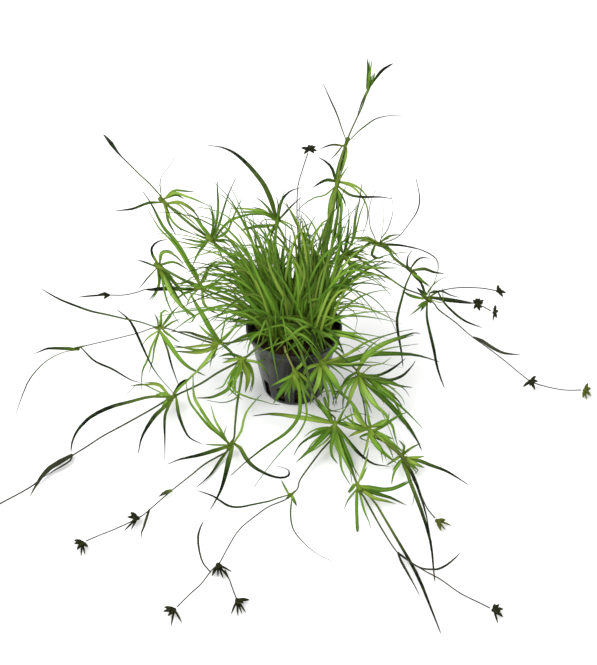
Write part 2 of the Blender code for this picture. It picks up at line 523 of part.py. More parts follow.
# Leaf groups that stand in the pot: the pad's centre from the pot's axis, and the leaves
CROWN = {
    "crown_left": ((-9.5, -3.0), [
        Leaf([(272, 316), (262, 300), (250, 282), (238, 264), (222, 246)], 80, 10, 2.8),
        Leaf([(269, 320), (255, 308), (243, 292), (236, 276), (230, 262)], 68, 9, 2.8),
        Leaf([(268, 322), (252, 313), (238, 305), (222, 306), (207, 312)], 46, 12, 1.6),
        Leaf([(267, 326), (250, 322), (236, 320), (212, 316.5)], 46, 10, 1.8),
        Leaf([(274, 314), (264, 298), (254, 282), (245, 264), (235, 243)], 92, 6, 2.0),
        Leaf([(276, 313), (268, 296), (258, 276), (250, 256), (238, 232)], 100, 4, 2.0),
        Leaf([(270, 336), (258, 334), (250, 343), (247, 355)], 40, 10, 1.8),
    ]),
    "crown_back": ((1.0, 2.0), [
        Leaf([(288, 308), (276, 288), (264, 268), (253, 236)], 98, 4, 2.2),
        Leaf([(290, 306), (278, 286), (268, 262), (264, 234)], 100, 4, 2.2),
        Leaf([(291, 304), (286, 284), (281, 266), (283, 243)], 92, 4, 2.2),
        Leaf([(294, 304), (290, 284), (289, 262), (290, 232)], 98, 4, 2.0),
        Leaf([(297, 304), (303, 286), (304, 268), (296, 243)], 92, 6, 1.8),
        Leaf([(299, 304), (308, 288), (312, 270), (308, 250), (300, 228)], 100, 6, 2.0),
        Leaf([(301, 304), (313, 288), (318, 268), (312, 247), (300, 230), (291, 213), (285, 200)], 114, 8, 2.4),
        Leaf([(298, 302), (298, 280), (292, 260), (280, 258), (268, 268)], 66, 16, 1.8),
    ]),
    "crown_right": ((11.5, -3.5), [
        Leaf([(319, 314), (324, 300), (335, 292), (352, 290), (371, 297), (387, 313), (397, 333)], 26, 22, 1.8),
        Leaf([(322, 318), (330, 308), (344, 304), (361, 304), (377, 309)], 40, 14, 1.6),
        Leaf([(324, 320), (338, 308), (350, 309), (357, 319), (353, 337)], 26, 16, 1.8),
        Leaf([(312, 314), (313, 300), (319, 283), (330, 262)], 76, 4, 2.4),
        Leaf([(321, 316), (331, 303), (342, 290), (354, 277)], 58, 6, 2.2),
        Leaf([(318, 324), (330, 330), (338, 340), (345, 356)], 34, 14, 2.0),
    ]),
}

# Short shoots over the pot's front: the stem is one piece with its leaves
SHOOTS = {
    "shoot_front": (Stem(["shoot_front", (286, 352, 50), "Y"], start=1.1, end=1.0), [
        Leaf([(292, 376), (287, 384), (281, 392), (273, 404)], 10, 3, 3.2),
        Leaf([(295, 378), (294, 386), (293, 393)], 18, 2, 2.2),
        Leaf([(298, 377), (303, 387), (308, 395), (314, 403)], 10, 4, 2.0),
        Leaf([(291, 374), (283, 380), (269, 387)], 24, 3, 1.6),
        Leaf([(297, 379), (300, 392), (299, 415), (287, 432), (265, 447), (247, 461), (229, 477)], 1, 5, 1.8),
        Leaf([(298, 368), (304, 362), (309, 353)], 50, 2, 1.8),
    ]),
    "shoot_right": (Stem(["shoot_right", (313, 351, 51), "Y2"], start=1.1, end=1.0), [
        Leaf([(328, 363), (345, 361), (360, 357), (375, 354), (403, 354), (420, 356), (440, 362)], 24, 9, 3.0),
        Leaf([(318, 368), (311, 378), (306, 388), (302, 398)], 12, 5, 2.6),
        Leaf([(321, 369), (318, 382), (313, 394), (310, 405)], 9, 5, 2.4),
        Leaf([(326, 369), (333, 379), (339, 389), (345, 399)], 14, 6, 3.0),
        Leaf([(326, 358), (333, 350), (337, 343), (326, 334), (305, 325)], 56, 14, 1.8),
        Leaf([(322, 371), (325, 383), (328, 396), (329, 408)], 10, 4, 2.0),
        Leaf([(316, 364), (308, 368), (303, 377), (300, 387)], 20, 4, 2.0),
        Leaf([(318, 358), (311, 350), (306, 340), (297, 331)], 58, 5, 1.8),
    ]),
}


def seen_at(x, y, height):
    """The place at a height above the ground that the photograph shows at a pixel."""
    eye = np.array([
        0.0,
        -VIEW_DISTANCE * math.cos(VIEW_PITCH),
        POT_HEIGHT + VIEW_DISTANCE * math.sin(VIEW_PITCH),
    ])
    ahead = np.array([0.0, math.cos(VIEW_PITCH), -math.sin(VIEW_PITCH)])
    up = np.array([0.0, math.sin(VIEW_PITCH), math.cos(VIEW_PITCH)])
    right = np.array([1.0, 0.0, 0.0])
    ray = ahead + right * (x - RIM_SEEN[0]) / VIEW_FOCAL - up * (y - RIM_SEEN[1]) / VIEW_FOCAL
    return eye + ray * (height - eye[2]) / ray[2]


def pixel_of(place):
    """The pixel at which the photograph shows a place."""
    level = VIEW_DISTANCE * math.cos(VIEW_PITCH) + place[1]
    drop = VIEW_DISTANCE * math.sin(VIEW_PITCH) + POT_HEIGHT - place[2]
    depth = level * math.cos(VIEW_PITCH) + drop * math.sin(VIEW_PITCH)
    down = drop * math.cos(VIEW_PITCH) - level * math.sin(VIEW_PITCH)
    return RIM_SEEN[0] + VIEW_FOCAL * place[0] / depth, RIM_SEEN[1] + VIEW_FOCAL * down / depth


def unit(vector):
    """A vector at length 1."""
    return vector / max(np.linalg.norm(vector), 1e-9)


def smooth_line(points, piece, straight=()):
    """A Catmull-Rom line through the points, in pieces of about one length; straight has spans that stay straight."""
    points = [np.asarray(p, float) for p in points]
    ends = [2 * points[0] - points[1]] + points + [2 * points[-1] - points[-2]]
    line = [points[0]]
    for i in range(len(points) - 1):
        p0, p1, p2, p3 = ends[i : i + 4]
        count = 1 if i in straight else max(1, round(np.linalg.norm(p2 - p1) / piece))
        for k in range(1, count + 1):
            t = k / count
            bent = 2 * p1 + (p2 - p0) * t + (2 * p0 - 5 * p1 + 4 * p2 - p3) * t**2
            line.append(0.5 * (bent + (3 * p1 - p0 - 3 * p2 + p3) * t**3))
    return line


def thinned(line, bend, kept=()):
    """A line with the points left out that lie within a small distance of the straight line past them."""
    line = [np.asarray(p, float) for p in line]
    stay = {0, len(line) - 1, *kept}

    def keep_far(first, last):
        if last - first < 2:
            return
        along = unit(line[last] - line[first])
        off = [np.linalg.norm(np.cross(line[i] - line[first], along)) for i in range(first + 1, last)]
        worst = max(range(len(off)), key=lambda i: off[i])
        if off[worst] > bend:
            stay.add(first + 1 + worst)
            keep_far(first, first + 1 + worst)
            keep_far(first + 1 + worst, last)

    marks = sorted(stay)
    for first, last in zip(marks, marks[1:]):
        keep_far(first, last)
    return [line[i] for i in sorted(stay)]


def outward(verts, faces):
    """The faces, turned so that they point out."""
    volume = 0.0
    for face in faces:
        a = verts[face[0]]
        for b, c in zip(face[1:-1], face[2:]):
            volume += float(np.dot(a, np.cross(verts[b], verts[c])))
    return [tuple(reversed(f)) for f in faces] if volume < 0 else faces


def tube(line, radii, sides):
    """A closed round tube along a line, with a radius at each of its points."""
    verts, faces = [], []
    side = None
    for i, point in enumerate(line):
        ahead = unit(line[min(i + 1, len(line) - 1)] - line[max(i - 1, 0)])
        side = np.cross(ahead, [0.0, 0.0, 1.0]) if side is None else side - ahead * np.dot(side, ahead)
        side = unit(side) if np.linalg.norm(side) > 1e-6 else np.array([1.0, 0.0, 0.0])
        over = np.cross(ahead, side)
        for k in range(sides):
            turn = 2 * math.pi * k / sides
            verts.append(point + radii[i] * (side * math.cos(turn) + over * math.sin(turn)))
    for i in range(len(line) - 1):
        for k in range(sides):
            a = i * sides + k
            b = i * sides + (k + 1) % sides
            faces.append((a, b, b + sides, a + sides))
    faces.append(tuple(range(sides))[::-1])
    faces.append(tuple((len(line) - 1) * sides + k for k in range(sides)))
    return verts, outward(verts, faces)


def leaf_shape(share, blunt):
    """How wide a blade is at a share of its length, as a share of its greatest width."""
    if blunt:
        return 0.75 + 0.25 * min(1.0, share * 3)
    return min(1.0, 0.55 + 2.2 * share) * (1.0 - share**2.2)


def folded(line, verts):
    """The first inner point of a blade's line where its cross sections fold or twist into each other, or none."""
    rings = [verts[i : i + 3] for i in range(0, len(verts) - 2, 3)]
    for i in range(len(rings) - 1):
        ahead = line[i + 1] - line[i]
        steps = [np.dot(b - a, ahead) for a, b in zip(rings[i], rings[i + 1])]
        twist = np.dot(unit(rings[i][1] - rings[i][0]), unit(rings[i + 1][1] - rings[i + 1][0]))
        if min(steps) < 0.3 * np.dot(ahead, ahead) or twist < 0.7:
            return max(i, 1)
    return None


def blade(line, width, thickness, blunt=False):
    """A blade along a line, which goes without the points at which it would fold."""
    line = [np.asarray(p, float) for p in line]
    shape = bent_blade(line, width, thickness, blunt)
    while len(line) > 3 and (fold := folded(line, shape[0])) is not None:
        line = line[:fold] + line[fold + 1 :]
        shape = bent_blade(line, width, thickness, blunt)
    return shape


def bent_blade(line, width, thickness, blunt):
    """A closed pointed blade along a line: a flat upper side and a keel below."""
    verts, faces = [], []
    last = len(line) - 1
    rings = len(line) if blunt else last
    run = np.concatenate([[0.0], np.cumsum([np.linalg.norm(b - a) for a, b in zip(line, line[1:])])])
    before = None
    for i in range(rings):
        ahead = unit(line[min(i + 1, last)] - line[max(i - 1, 0)])
        side = np.cross(ahead, FACING)
        if before is not None:
            side = side * (0.3 if np.dot(side, before) >= 0 else -0.3) + before
            side -= ahead * np.dot(side, ahead)
        side = unit(side) if np.linalg.norm(side) > 0.05 else across_from(ahead, np.array([1.0, 0.0, 0.0]))
        under = np.cross(side, ahead)
        if before is None:
            low = 1.0 if np.dot(under, FACING) < 0 else -1.0
        under = under * low
        before = side
        share = leaf_shape(run[i] / run[-1], blunt)
        half = side * width * 0.5 * max(share, 0.25)
        verts += [line[i] - half, line[i] + half, line[i] + under * thickness * max(share, 0.5)]
    for i in range(rings - 1):
        for k in range(3):
            a = 3 * i + k
            b = 3 * i + (k + 1) % 3
            faces.append((a, b, b + 3, a + 3))
    faces.append((2, 1, 0))
    end = 3 * (rings - 1)
    if blunt:
        faces.append((end, end + 1, end + 2))
    else:
        verts.append(line[last])
        faces += [(end + k, end + (k + 1) % 3, len(verts) - 1) for k in range(3)]
    return verts, outward(verts, faces)


def joined(shapes):
    """Several shapes as one list of points and faces."""
    verts, faces = [], []
    for some, sides in shapes:
        faces += [tuple(i + len(verts) for i in side) for side in sides]
        verts += list(some)
    return verts, faces


# Which way the leaves' flat sides face
FACING = unit(np.array([0.0, -0.45, 0.9]))

# The ways in which a leaf is moved to find room: its middle up or down, its tip up or down, and aside
WAYS = (
    (1, 0, 0), (-1, 0, 0), (0, 1, 0), (0, -1, 0), (1, 1, 0), (-1, -1, 0), (1, -1, 0), (-1, 1, 0),
    (0, 0, 0.7), (0, 0, -0.7), (1, 0, 0.7), (1, 0, -0.7), (-1, 0, 0.7), (-1, 0, -0.7),
    (0, 1, 0.7), (0, 1, -0.7), (0, -1, 0.7), (0, -1, -0.7),
)

# The pieces that found too little room, with what they are too close to and where
TIGHT = []


class Room:
    """What is taken up so far: points with the radius that is solid round each, and whose they are."""

    def __init__(self):
        self.points = np.zeros((0, 3))
        self.radii = np.zeros(0)
        self.owners = np.zeros(0, dtype=object)

    def add(self, owner, points, radii):
        """Take up room along points."""
        self.points = np.vstack([self.points, points])
        self.radii = np.concatenate([self.radii, radii])
        self.owners = np.concatenate([self.owners, np.full(len(points), owner, dtype=object)])

    def left(self, points, radii, exempt=()):
        """The least distance between these points and what others hold, less both radii.

        exempt has places, reaches, owners and distances: for the points within reach of the place, an owner's
        points count only as far as that distance from its middle, or not at all.
        """
        around = ((self.points > points.min(0) - 5.0) & (self.points < points.max(0) + 5.0)).all(axis=1)
        if not around.any():
            return 5.0, "", points[0]
        held, held_radii, owners = self.points[around], self.radii[around], self.owners[around]
        apart = np.linalg.norm(points[:, None] - held[None], axis=2)
        gap = apart - radii[:, None] - held_radii[None]
        for place, reach, names, least in exempt:
            close = np.linalg.norm(points - place, axis=1) < reach
            part = np.ix_(close, np.isin(owners, list(names)))
            gap[part] = apart[part] - least + ROOM_CLEAR if least else 99.0
        worst = np.unravel_index(gap.argmin(), gap.shape)
        return float(gap[worst]), owners[worst[1]], points[worst[0]]


def pot_left(points, radii):
    """The least distance of points from the pot's wall and from the soil, less their radii."""
    out = np.hypot(points[:, 0], points[:, 1])
    high = points[:, 2]
    low_end = np.array([FOOT_RADIUS - 1.0, 0.0])
    top_end = np.array([LIP_RADIUS - 1.4, POT_HEIGHT - 0.2])
    wall = top_end - low_end
    spots = np.stack([out, high], axis=1)
    along = np.clip((spots - low_end) @ wall / (wall @ wall), 0.0, 1.0)
    off = np.linalg.norm(spots - low_end - along[:, None] * wall, axis=1) - 1.6
    middle = low_end[0] + wall[0] * np.clip(high / POT_HEIGHT, 0.0, 1.0)
    inside = (out < middle) & (high < POT_HEIGHT + 4.0)
    off = np.where(inside, np.minimum(off, high - SOIL_TOP - GAP), off)
    return float((off - radii).min())


def sampled(line, width_at):
    """Points every millimetre or two along a line, with the half width there."""
    fine = np.array(smooth_line(line, 1e9))
    run = np.concatenate([[0.0], np.cumsum(np.linalg.norm(np.diff(fine, axis=0), axis=1))])
    count = max(3, int(run[-1] / ROOM_SAMPLE) + 1)
    at = np.linspace(0.0, run[-1], count)
    points = np.stack([np.interp(at, run, fine[:, k]) for k in range(3)], axis=1)
    return points, np.array([width_at(a / run[-1]) for a in at])


def leaf_line(start, leaf, lift, tilt, aside):
    """A leaf's line from its start, its middle lifted, its tip raised and moved aside in the picture by so much."""
    run = [0.0]
    for a, b in zip(leaf.line, leaf.line[1:]):
        run.append(run[-1] + math.dist(a, b))
    (x0, y0), (x1, y1) = leaf.line[0], leaf.line[-1]
    length = max(math.dist((x0, y0), (x1, y1)), 1.0)
    across = ((y0 - y1) / length, (x1 - x0) / length)
    points = [start]
    lead = max(math.dist(pixel_of(start), (x0, y0)), 2.0)
    for (x, y), part in zip(leaf.line, run):
        share = (part + lead) / (run[-1] + lead)
        rise = (leaf.arch + lift) * 4 * share * (1 - share) + tilt * share
        height = start[2] + (leaf.tip - start[2]) * share + rise
        shift = aside * min(1.0, 2 * share)
        points.append(seen_at(x + across[0] * shift, y + across[1] * shift, max(height, LOWEST + LEAF_THICKNESS)))
    far = [p for p in points[1:-1] if np.linalg.norm(p - start) > LEAF_CLEAR]
    fine = smooth_line([start, *far, points[-1]], 2.5)
    for point in fine[1:]:
        point[2] = max(point[2], LOWEST + LEAF_THICKNESS)
    return thinned(fine, LEAF_BEND)


def fit_leaf(room, name, starts, leaf, exempt, pot=True):
    """The leaf's line, moved as little as keeps it clear of everything else; it is added to the room."""
    best, best_left = None, (-99.0,)
    for step in range(ROOM_STEPS):
        if best_left[0] >= ROOM_CLEAR:
            break
        size = step * ROOM_STEP
        for start, way in [(start, way) for way in (WAYS if step else ((0, 0, 0),)) for start in starts]:
            lift, tilt, aside = (size * w for w in way)
            line = leaf_line(start, leaf, lift, tilt, aside)
            points, half = sampled(line, lambda s: max(0.5 * leaf.width * leaf_shape(s, leaf.blunt), 0.4) + 0.1)
            left = room.left(points, half, exempt)
            if pot:
                left = min(left, (pot_left(points, half), "pot", points[0]), key=lambda found: found[0])
            if left[0] > best_left[0]:
                best, best_left = (line, points, half), left
            if left[0] >= ROOM_CLEAR:
                break
    if best_left[0] < GAP and best_left[1] != name:
        TIGHT.append((name, round(best_left[0], 2), best_left[1], [round(float(c), 1) for c in best_left[2]]))
    room.add(name, best[1], best[2])
    return best[0]


def stem_points(stem):
    """A stem's line and the spans of it that stay straight, which run through its joints."""
    marks = []
    for item in stem.route:
        if item in ROOT:
            x, y = ROOT[item]
            marks.append((np.array([x, y, SOIL_TOP + GAP]), ""))
            marks.append((np.array([x * 1.05, y * 1.05, SOIL_TOP + 5.0]), ""))
        elif item in JOINT:
            marks.append((seen_at(*JOINT[item]), item))
        else:
            marks.append((seen_at(*item), ""))
    points, straight, places = [], [], {}
    for i, (place, joint) in enumerate(marks):
        if not joint:
            points.append(place)
            continue
        ahead = unit(marks[min(i + 1, len(marks) - 1)][0] - marks[i - 1][0])
        last = i == len(marks) - 1
        straight.append(len(points))
        points += [place - ahead * (SHEATH_BACK + 1.0), place + ahead * (1.5 if last else SHEATH_FRONT + 1.0)]
        places[joint] = (place, ahead)
    return points, straight, places


def stem_radii(stem, count):
    """A stem's radius at each of its points."""
    return [stem.start + (stem.end - stem.start) * min(1.0, 1.6 * i / (count - 1)) for i in range(count)]


def finish(name):
    """A finish as a material."""
    made = bpy.data.materials.get(name)
    if made:
        return made
    colour, roughness, metallic = FINISHES[name]
    made = bpy.data.materials.new(name)
    made.use_nodes = True
    shader = made.node_tree.nodes["Principled BSDF"]
    shader.inputs["Base Color"].default_value = (*colour, 1.0)
    shader.inputs["Roughness"].default_value = roughness
    shader.inputs["Metallic"].default_value = metallic
    made.diffuse_color = (*colour, 1.0)
    return made


def mesh_object(name, shape, finish_name=None):
    """An object from points in millimetres; without a finish it is a cutter or a helper."""
    verts, faces = shape
    mesh = bpy.data.meshes.new(name)
    mesh.from_pydata([tuple(float(c) * MM for c in v) for v in verts], [], faces)
    mesh.update()
    made = bpy.data.objects.new(name, mesh)
    bpy.context.scene.collection.objects.link(made)
    if finish_name:
        mesh.materials.append(finish(finish_name))
    else:
        made.hide_render = True
        made.display_type = "WIRE"
    return made


def combine(obj, other, operation):
    """Join a helper to an object, or cut it out."""
    step = obj.modifiers.new(f"{operation.lower()} {other.name}", "BOOLEAN")
    step.operation = operation
    step.solver = "EXACT"
    step.use_self = True
    step.object = other


def turned(profile, sides):
    """A closed body turned about the pot's axis from an outline of radius and height, flat at both ends."""
    verts, faces = [], []
    count = len(profile)
    for i in range(sides):
        turn = 2 * math.pi * i / sides
        verts += [np.array([r * math.cos(turn), r * math.sin(turn), z]) for r, z in profile]
    for i in range(sides):
        j = (i + 1) % sides
        for k in range(count - 1):
            faces.append((i * count + k, j * count + k, j * count + k + 1, i * count + k + 1))
    faces.append(tuple(i * count for i in range(sides))[::-1])
    faces.append(tuple(i * count + count - 1 for i in range(sides)))
    return verts, outward(verts, faces)


def box(centre, size, turn):
    """A box turned about the pot's axis."""
    verts = []
    for x in (-0.5, 0.5):
        for y in (-0.5, 0.5):
            for z in (-0.5, 0.5):
                px, py, pz = centre[0] + x * size[0], centre[1] + y * size[1], centre[2] + z * size[2]
                cos, sin = math.cos(turn), math.sin(turn)
                verts.append(np.array([px * cos - py * sin, px * sin + py * cos, pz]))
    faces = [(0, 1, 3, 2), (4, 6, 7, 5), (0, 4, 5, 1), (2, 3, 7, 6), (0, 2, 6, 4), (1, 5, 7, 3)]
    return verts, outward(verts, faces)


def wall_radius(height):
    """The wall's outer radius at a height."""
    return FOOT_RADIUS + (TOP_RADIUS - FOOT_RADIUS) * height / (POT_HEIGHT - LIP_DEPTH)


def make_pot():
    """The net pot: a tapered wall with a lip, a whole floor and upright slots round the foot."""
    shoulder = POT_HEIGHT - LIP_DEPTH
    profile = [
        (FOOT_RADIUS - 0.6, 0.0), (FOOT_RADIUS, 0.6), (TOP_RADIUS, shoulder),
        (LIP_RADIUS - 0.5, shoulder + 0.2), (LIP_RADIUS, shoulder + 0.8), (LIP_RADIUS, POT_HEIGHT - 0.5),
        (LIP_RADIUS - 0.5, POT_HEIGHT), (LIP_RADIUS - POT_WALL - 0.2, POT_HEIGHT),
        (TOP_RADIUS - POT_WALL, shoulder), (FOOT_RADIUS - POT_WALL, FLOOR_THICKNESS),
    ]
    pot = mesh_object("pot", turned(profile, POT_SIDES), "pot_plastic")
    tall = SLOT_HIGH - SLOT_LOW
    slots = []
    for i in range(SLOT_COUNT):
        turn = 2 * math.pi * (i + 0.25) / SLOT_COUNT
        slots.append(box((FOOT_RADIUS + 1.0, 0.0, (SLOT_LOW + SLOT_HIGH) / 2), (8.0, SLOT_WIDTH, tall), turn))
    combine(pot, mesh_object("pot slots", joined(slots)), "DIFFERENCE")
    pot.data.shade_smooth()
    pot.data.set_sharp_from_angle(angle=math.radians(30))


def make_soil():
    """The plug of substrate, clear of the wall and floor."""
    low = FLOOR_THICKNESS + GAP
    inset = POT_WALL + GAP + 0.15
    verts, faces = [], []
    levels = [
        (wall_radius(low) - inset, low),
        (wall_radius(SOIL_TOP - 2.0) - inset, SOIL_TOP - 2.0),
        (wall_radius(SOIL_TOP) - inset - 1.2, SOIL_TOP),
    ]
    for radius, height in levels:
        for i in range(SOIL_SIDES):
            turn = 2 * math.pi * i / SOIL_SIDES
            verts.append(np.array([radius * math.cos(turn), radius * math.sin(turn), height]))
    for level in range(2):
        for i in range(SOIL_SIDES):
            a = level * SOIL_SIDES + i
            b = level * SOIL_SIDES + (i + 1) % SOIL_SIDES
            faces.append((a, b, b + SOIL_SIDES, a + SOIL_SIDES))
    faces.append(tuple(range(SOIL_SIDES))[::-1])
    faces.append(tuple(2 * SOIL_SIDES + i for i in range(SOIL_SIDES)))
    mesh_object("soil", (verts, outward(verts, faces)), "soil")


def stem_line(stem):
    """A stem's smooth line, its radii along it and its joints' places."""
    points, straight, places = stem_points(stem)
    line = smooth_line(points, 2.0, straight)
    kept = [min(range(len(line)), key=lambda i: np.linalg.norm(line[i] - points[k + e]))
            for k in straight for e in (0, 1)]
    line = thinned(line, STEM_BEND, kept)
    return line, stem_radii(stem, len(line)), places


def closest(line, place):
    """The point of a line that is nearest to a place."""
    points = sampled(line, lambda s: 0.0)[0]
    return points[np.linalg.norm(points - place, axis=1).argmin()]


def way_through(line, radii, place, reach):
    """The stretch of a stem within reach of a place, as a wider tube to cut with."""
    off = [np.linalg.norm(p - place) for p in line]
    keep = [i for i, d in enumerate(off) if d < max(reach, min(off) + 0.1)]
    first, last = max(min(keep) - 1, 0), min(max(keep) + 1, len(line) - 1)
    some = list(line[first : last + 1])
    wide = [(radii[i] + GAP) / math.cos(math.pi / STEM_SIDES) for i in range(first, last + 1)]
    some[0] = some[0] - unit(some[1] - some[0]) * GAP
    some[-1] = some[-1] + unit(some[-1] - some[-2]) * GAP
    return tube(some, wide, STEM_SIDES)


def stem_bracts(room, name, stem, line):
    """The leaves that are one piece with a stem."""
    found = []
    for leaf in stem.bracts:
        start = closest(line, seen_at(*leaf.line[0], 2.0 if leaf.tip < 9.0 else 28.0))
        rest = Leaf(leaf.line[1:], leaf.tip, leaf.arch, leaf.width)
        made = fit_leaf(room, name, [start], rest, ((start, 999.0, (name,), None),), pot=False)
        found.append(blade(made, leaf.width, LEAF_THICKNESS))
    return found


def across_from(ahead, toward):
    """The direction across a stem that points most toward something."""
    across = toward - ahead * np.dot(toward, ahead)
    return unit(across) if np.linalg.norm(across) > 0.3 else unit(np.cross(ahead, [1.0, 0.3, 0.2]))


def head_shape(centre, head, others):
    """A flower head: a small round core with a bract drawn out of one of its faces toward each tip."""
    golden = (1 + math.sqrt(5)) / 2
    verts = []
    for a in (-1, 1):
        for b in (-golden, golden):
            verts += [(0, a, b), (a, b, 0), (b, 0, a)]
    verts = [np.array(v) / math.hypot(1, golden) * HEAD_RADIUS + centre for v in verts]
    edge = min(np.linalg.norm(v - verts[0]) for v in verts[1:]) * 1.01
    near = [[np.linalg.norm(a - b) < edge for b in verts] for a in verts]
    faces = [(i, j, k) for i in range(12) for j in range(i + 1, 12) for k in range(j + 1, 12)
             if near[i][j] and near[j][k] and near[i][k]]
    faces = [f if np.dot(np.cross(verts[f[1]] - verts[f[0]], verts[f[2]] - verts[f[0]]), verts[f[0]] - centre) > 0
             else f[::-1] for f in faces]
    for i, (x, y) in enumerate(head.tips):
        for rise in (1.0 if i % 2 else -0.5, 1.8, 2.6, 3.4):
            end = seen_at(x, y, max(head.at[2] + rise, LOWEST + 0.3))
            if np.linalg.norm(others - end, axis=1).min() > STALK_RADIUS + 2 * GAP:
                break
        whole = [f for f in faces if max(f) < 12]
        face = max(whole, key=lambda f: np.dot(unit(sum(verts[k] for k in f) / 3 - centre), unit(end - centre)))
        faces.remove(face)
        faces += [(face[k], face[(k + 1) % 3], len(verts)) for k in range(3)]
        verts.append(end)
    return verts, faces


def settle(shape, floor=LOWEST):
    """Keep a shape's points above the ground."""
    verts, faces = shape
    return [np.array([v[0], v[1], max(v[2], floor)]) for v in verts], faces


def add_pieces(body, pieces):
    """Fuse blades with the body that they grow from."""
    for i, piece in enumerate(pieces):
        combine(body, mesh_object(f"{body.name} blade {i}", settle(piece)), "UNION")


def cut_ways(body, ways):
    """Cut stems' ways out of a body."""
    for i, way in enumerate(ways):
        combine(body, mesh_object(f"{body.name} way {i}", way), "DIFFERENCE")


def build_plant():
    """Every stem, whorl, head and crown group, each kept clear of the others."""
    room = Room()
    lines = {name: stem_line(stem) for name, stem in STEMS.items()}
    lines |= {name: stem_line(stem) for name, (stem, _) in {**STALKED, **SHOOTS}.items()}
    for name, (line, radii, _) in lines.items():
        points, wide = sampled(line, lambda s: radii[0] + (radii[-1] - radii[0]) * s)
        left, owner, at = room.left(points, wide)
        off = pot_left(points[4:], wide[4:])
        if min(left, off) < GAP:
            TIGHT.append((name, round(left, 2), owner, round(off, 2), [round(float(c), 1) for c in at]))
        room.add(name, points, wide)
    heads = {**HEADS, **{name: head for name, (_, head) in STALKED.items()}}
    for name, head in heads.items():
        centre = seen_at(*head.at)
        tips = np.array([seen_at(x, y, head.at[2]) for x, y in head.tips])
        spots = np.vstack([centre[None], (centre + tips) / 2, tips])
        room.add(name, spots, np.array([HEAD_RADIUS] + [1.1] * (2 * len(tips))))

    for name, stem in STEMS.items():
        line, radii, _ = lines[name]
        body = mesh_object(name, settle(tube(line, radii, STEM_SIDES)), "stem")
        add_pieces(body, stem_bracts(room, name, stem, line))
    for name, head in HEADS.items():
        build_head(name, head, lines)
    for name, (stem, head) in STALKED.items():
        line, radii, _ = lines[name]
        body = mesh_object(name, settle(tube(line, radii, STEM_SIDES)), "flower")
        add_pieces(body, [head_shape(line[-1], head, np.full((1, 3), 999.0))])
    for name, (stem_name, joint, leaves) in WHORLS.items():
        line, radii, places = lines[stem_name]
        place, ahead = places[joint]
        sheath = tube([place - ahead * SHEATH_BACK, place + ahead * SHEATH_FRONT],
                      [SHEATH_RADIUS, SHEATH_RADIUS * 0.9], SHEATH_SIDES)
        grown = [n for n, s in branches() if s.branch_of == joint]
        blades = whorl_blades(room, name, leaves, place, ahead, {stem_name, *grown})
        body = mesh_object(name, settle(sheath), "leaf")
        add_pieces(body, blades)
        cut_ways(body, [way_through(lines[n][0], lines[n][1], place, 9.0) for n in (stem_name, *grown)])
    for name, (stem, leaves) in SHOOTS.items():
        line, radii, places = lines[name]
        (place, ahead), = places.values()
        sheath = tube([place - ahead * SHEATH_BACK, place + ahead * 3.0], [SHEATH_RADIUS] * 2, SHEATH_SIDES)
        blades = whorl_blades(room, name, leaves, place, ahead, {name})
        body = mesh_object(name, settle(tube(line, radii, SHEATH_SIDES)), "leaf")
        add_pieces(body, [sheath] + blades)
    for name, (middle, leaves) in CROWN.items():
        build_crown(room, name, middle, leaves)


def build_head(name, head, lines):
    """A flower head at its stem's end or along it, with a way through it for every stalk."""
    line, radii, _ = lines[head.stem]
    seen = seen_at(*head.at)
    centre = closest(line, seen) if head.along else line[-1] + unit(line[-1] - line[-2]) * (GAP + HEAD_RADIUS)
    stalks = [head.stem] + [n for n, (s, _) in STALKED.items() if s.branch_of == name]
    others = np.vstack([sampled(lines[n][0], lambda s: 0.0)[0] for n in stalks])
    body = mesh_object(name, settle(head_shape(centre, head, others), 0.2), "flower")
    cut_ways(body, [way_through(lines[n][0], lines[n][1], centre, 9.0) for n in stalks])


def build_crown(room, name, middle, leaves):
    """A group of leaves that stands in the pot on a low pad."""
    low = SOIL_TOP + GAP
    x, y = middle
    centre = np.array([x, y, low + CROWN_PAD_HEIGHT * 0.6])
    blades = []
    for leaf in leaves:
        toward = unit((seen_at(*leaf.line[1], 50.0) - centre) * [1, 1, 0])
        start = centre + toward * CROWN_PAD_RADIUS * 0.5
        line = fit_leaf(room, name, [start], leaf, ((centre, OWN_NEAR, (name,), None),))
        blades.append(blade(line, leaf.width, LEAF_THICKNESS))
    pad = tube([np.array([x, y, low]), np.array([x, y, low + CROWN_PAD_HEIGHT])],
               [CROWN_PAD_RADIUS, CROWN_PAD_RADIUS * 0.8], 8)
    add_pieces(mesh_object(name, pad, "leaf"), blades)


def branches():
    """Every stem that can branch from another, with its name."""
    return [*STEMS.items(), *((n, s) for n, (s, _) in STALKED.items())]


def whorl_blades(room, name, leaves, place, ahead, stems):
    """The blades of a whorl, from the sheath's wall outwards, their bases spread round the stem."""
    level = unit(np.cross(ahead, [0.0, 0.3, 1.0]))
    over = np.cross(ahead, level)
    turns, along = [], []
    for leaf in leaves:
        toward = seen_at(*leaf.line[0], place[2] + 0.2 * (leaf.tip - place[2])) - place
        across = across_from(ahead, toward)
        turns.append(math.atan2(np.dot(across, over), np.dot(across, level)))
        along.append(1.5 if np.dot(toward, ahead) > 0 else -1.5)
    blades = []
    for leaf, turn, own_turn, move in zip(leaves, spread(turns), turns, along):
        starts = [place + (level * math.cos(t) + over * math.sin(t)) * SHEATH_HOLD + ahead * move
                  for t in (turn, own_turn)]
        exempt = ((place, STEM_NEAR, tuple(stems), STEM_HOLD), (place, OWN_NEAR, (name,), None))
        line = fit_leaf(room, name, starts, leaf, exempt)
        blades.append(blade(line, leaf.width, LEAF_THICKNESS, leaf.blunt))
    return blades


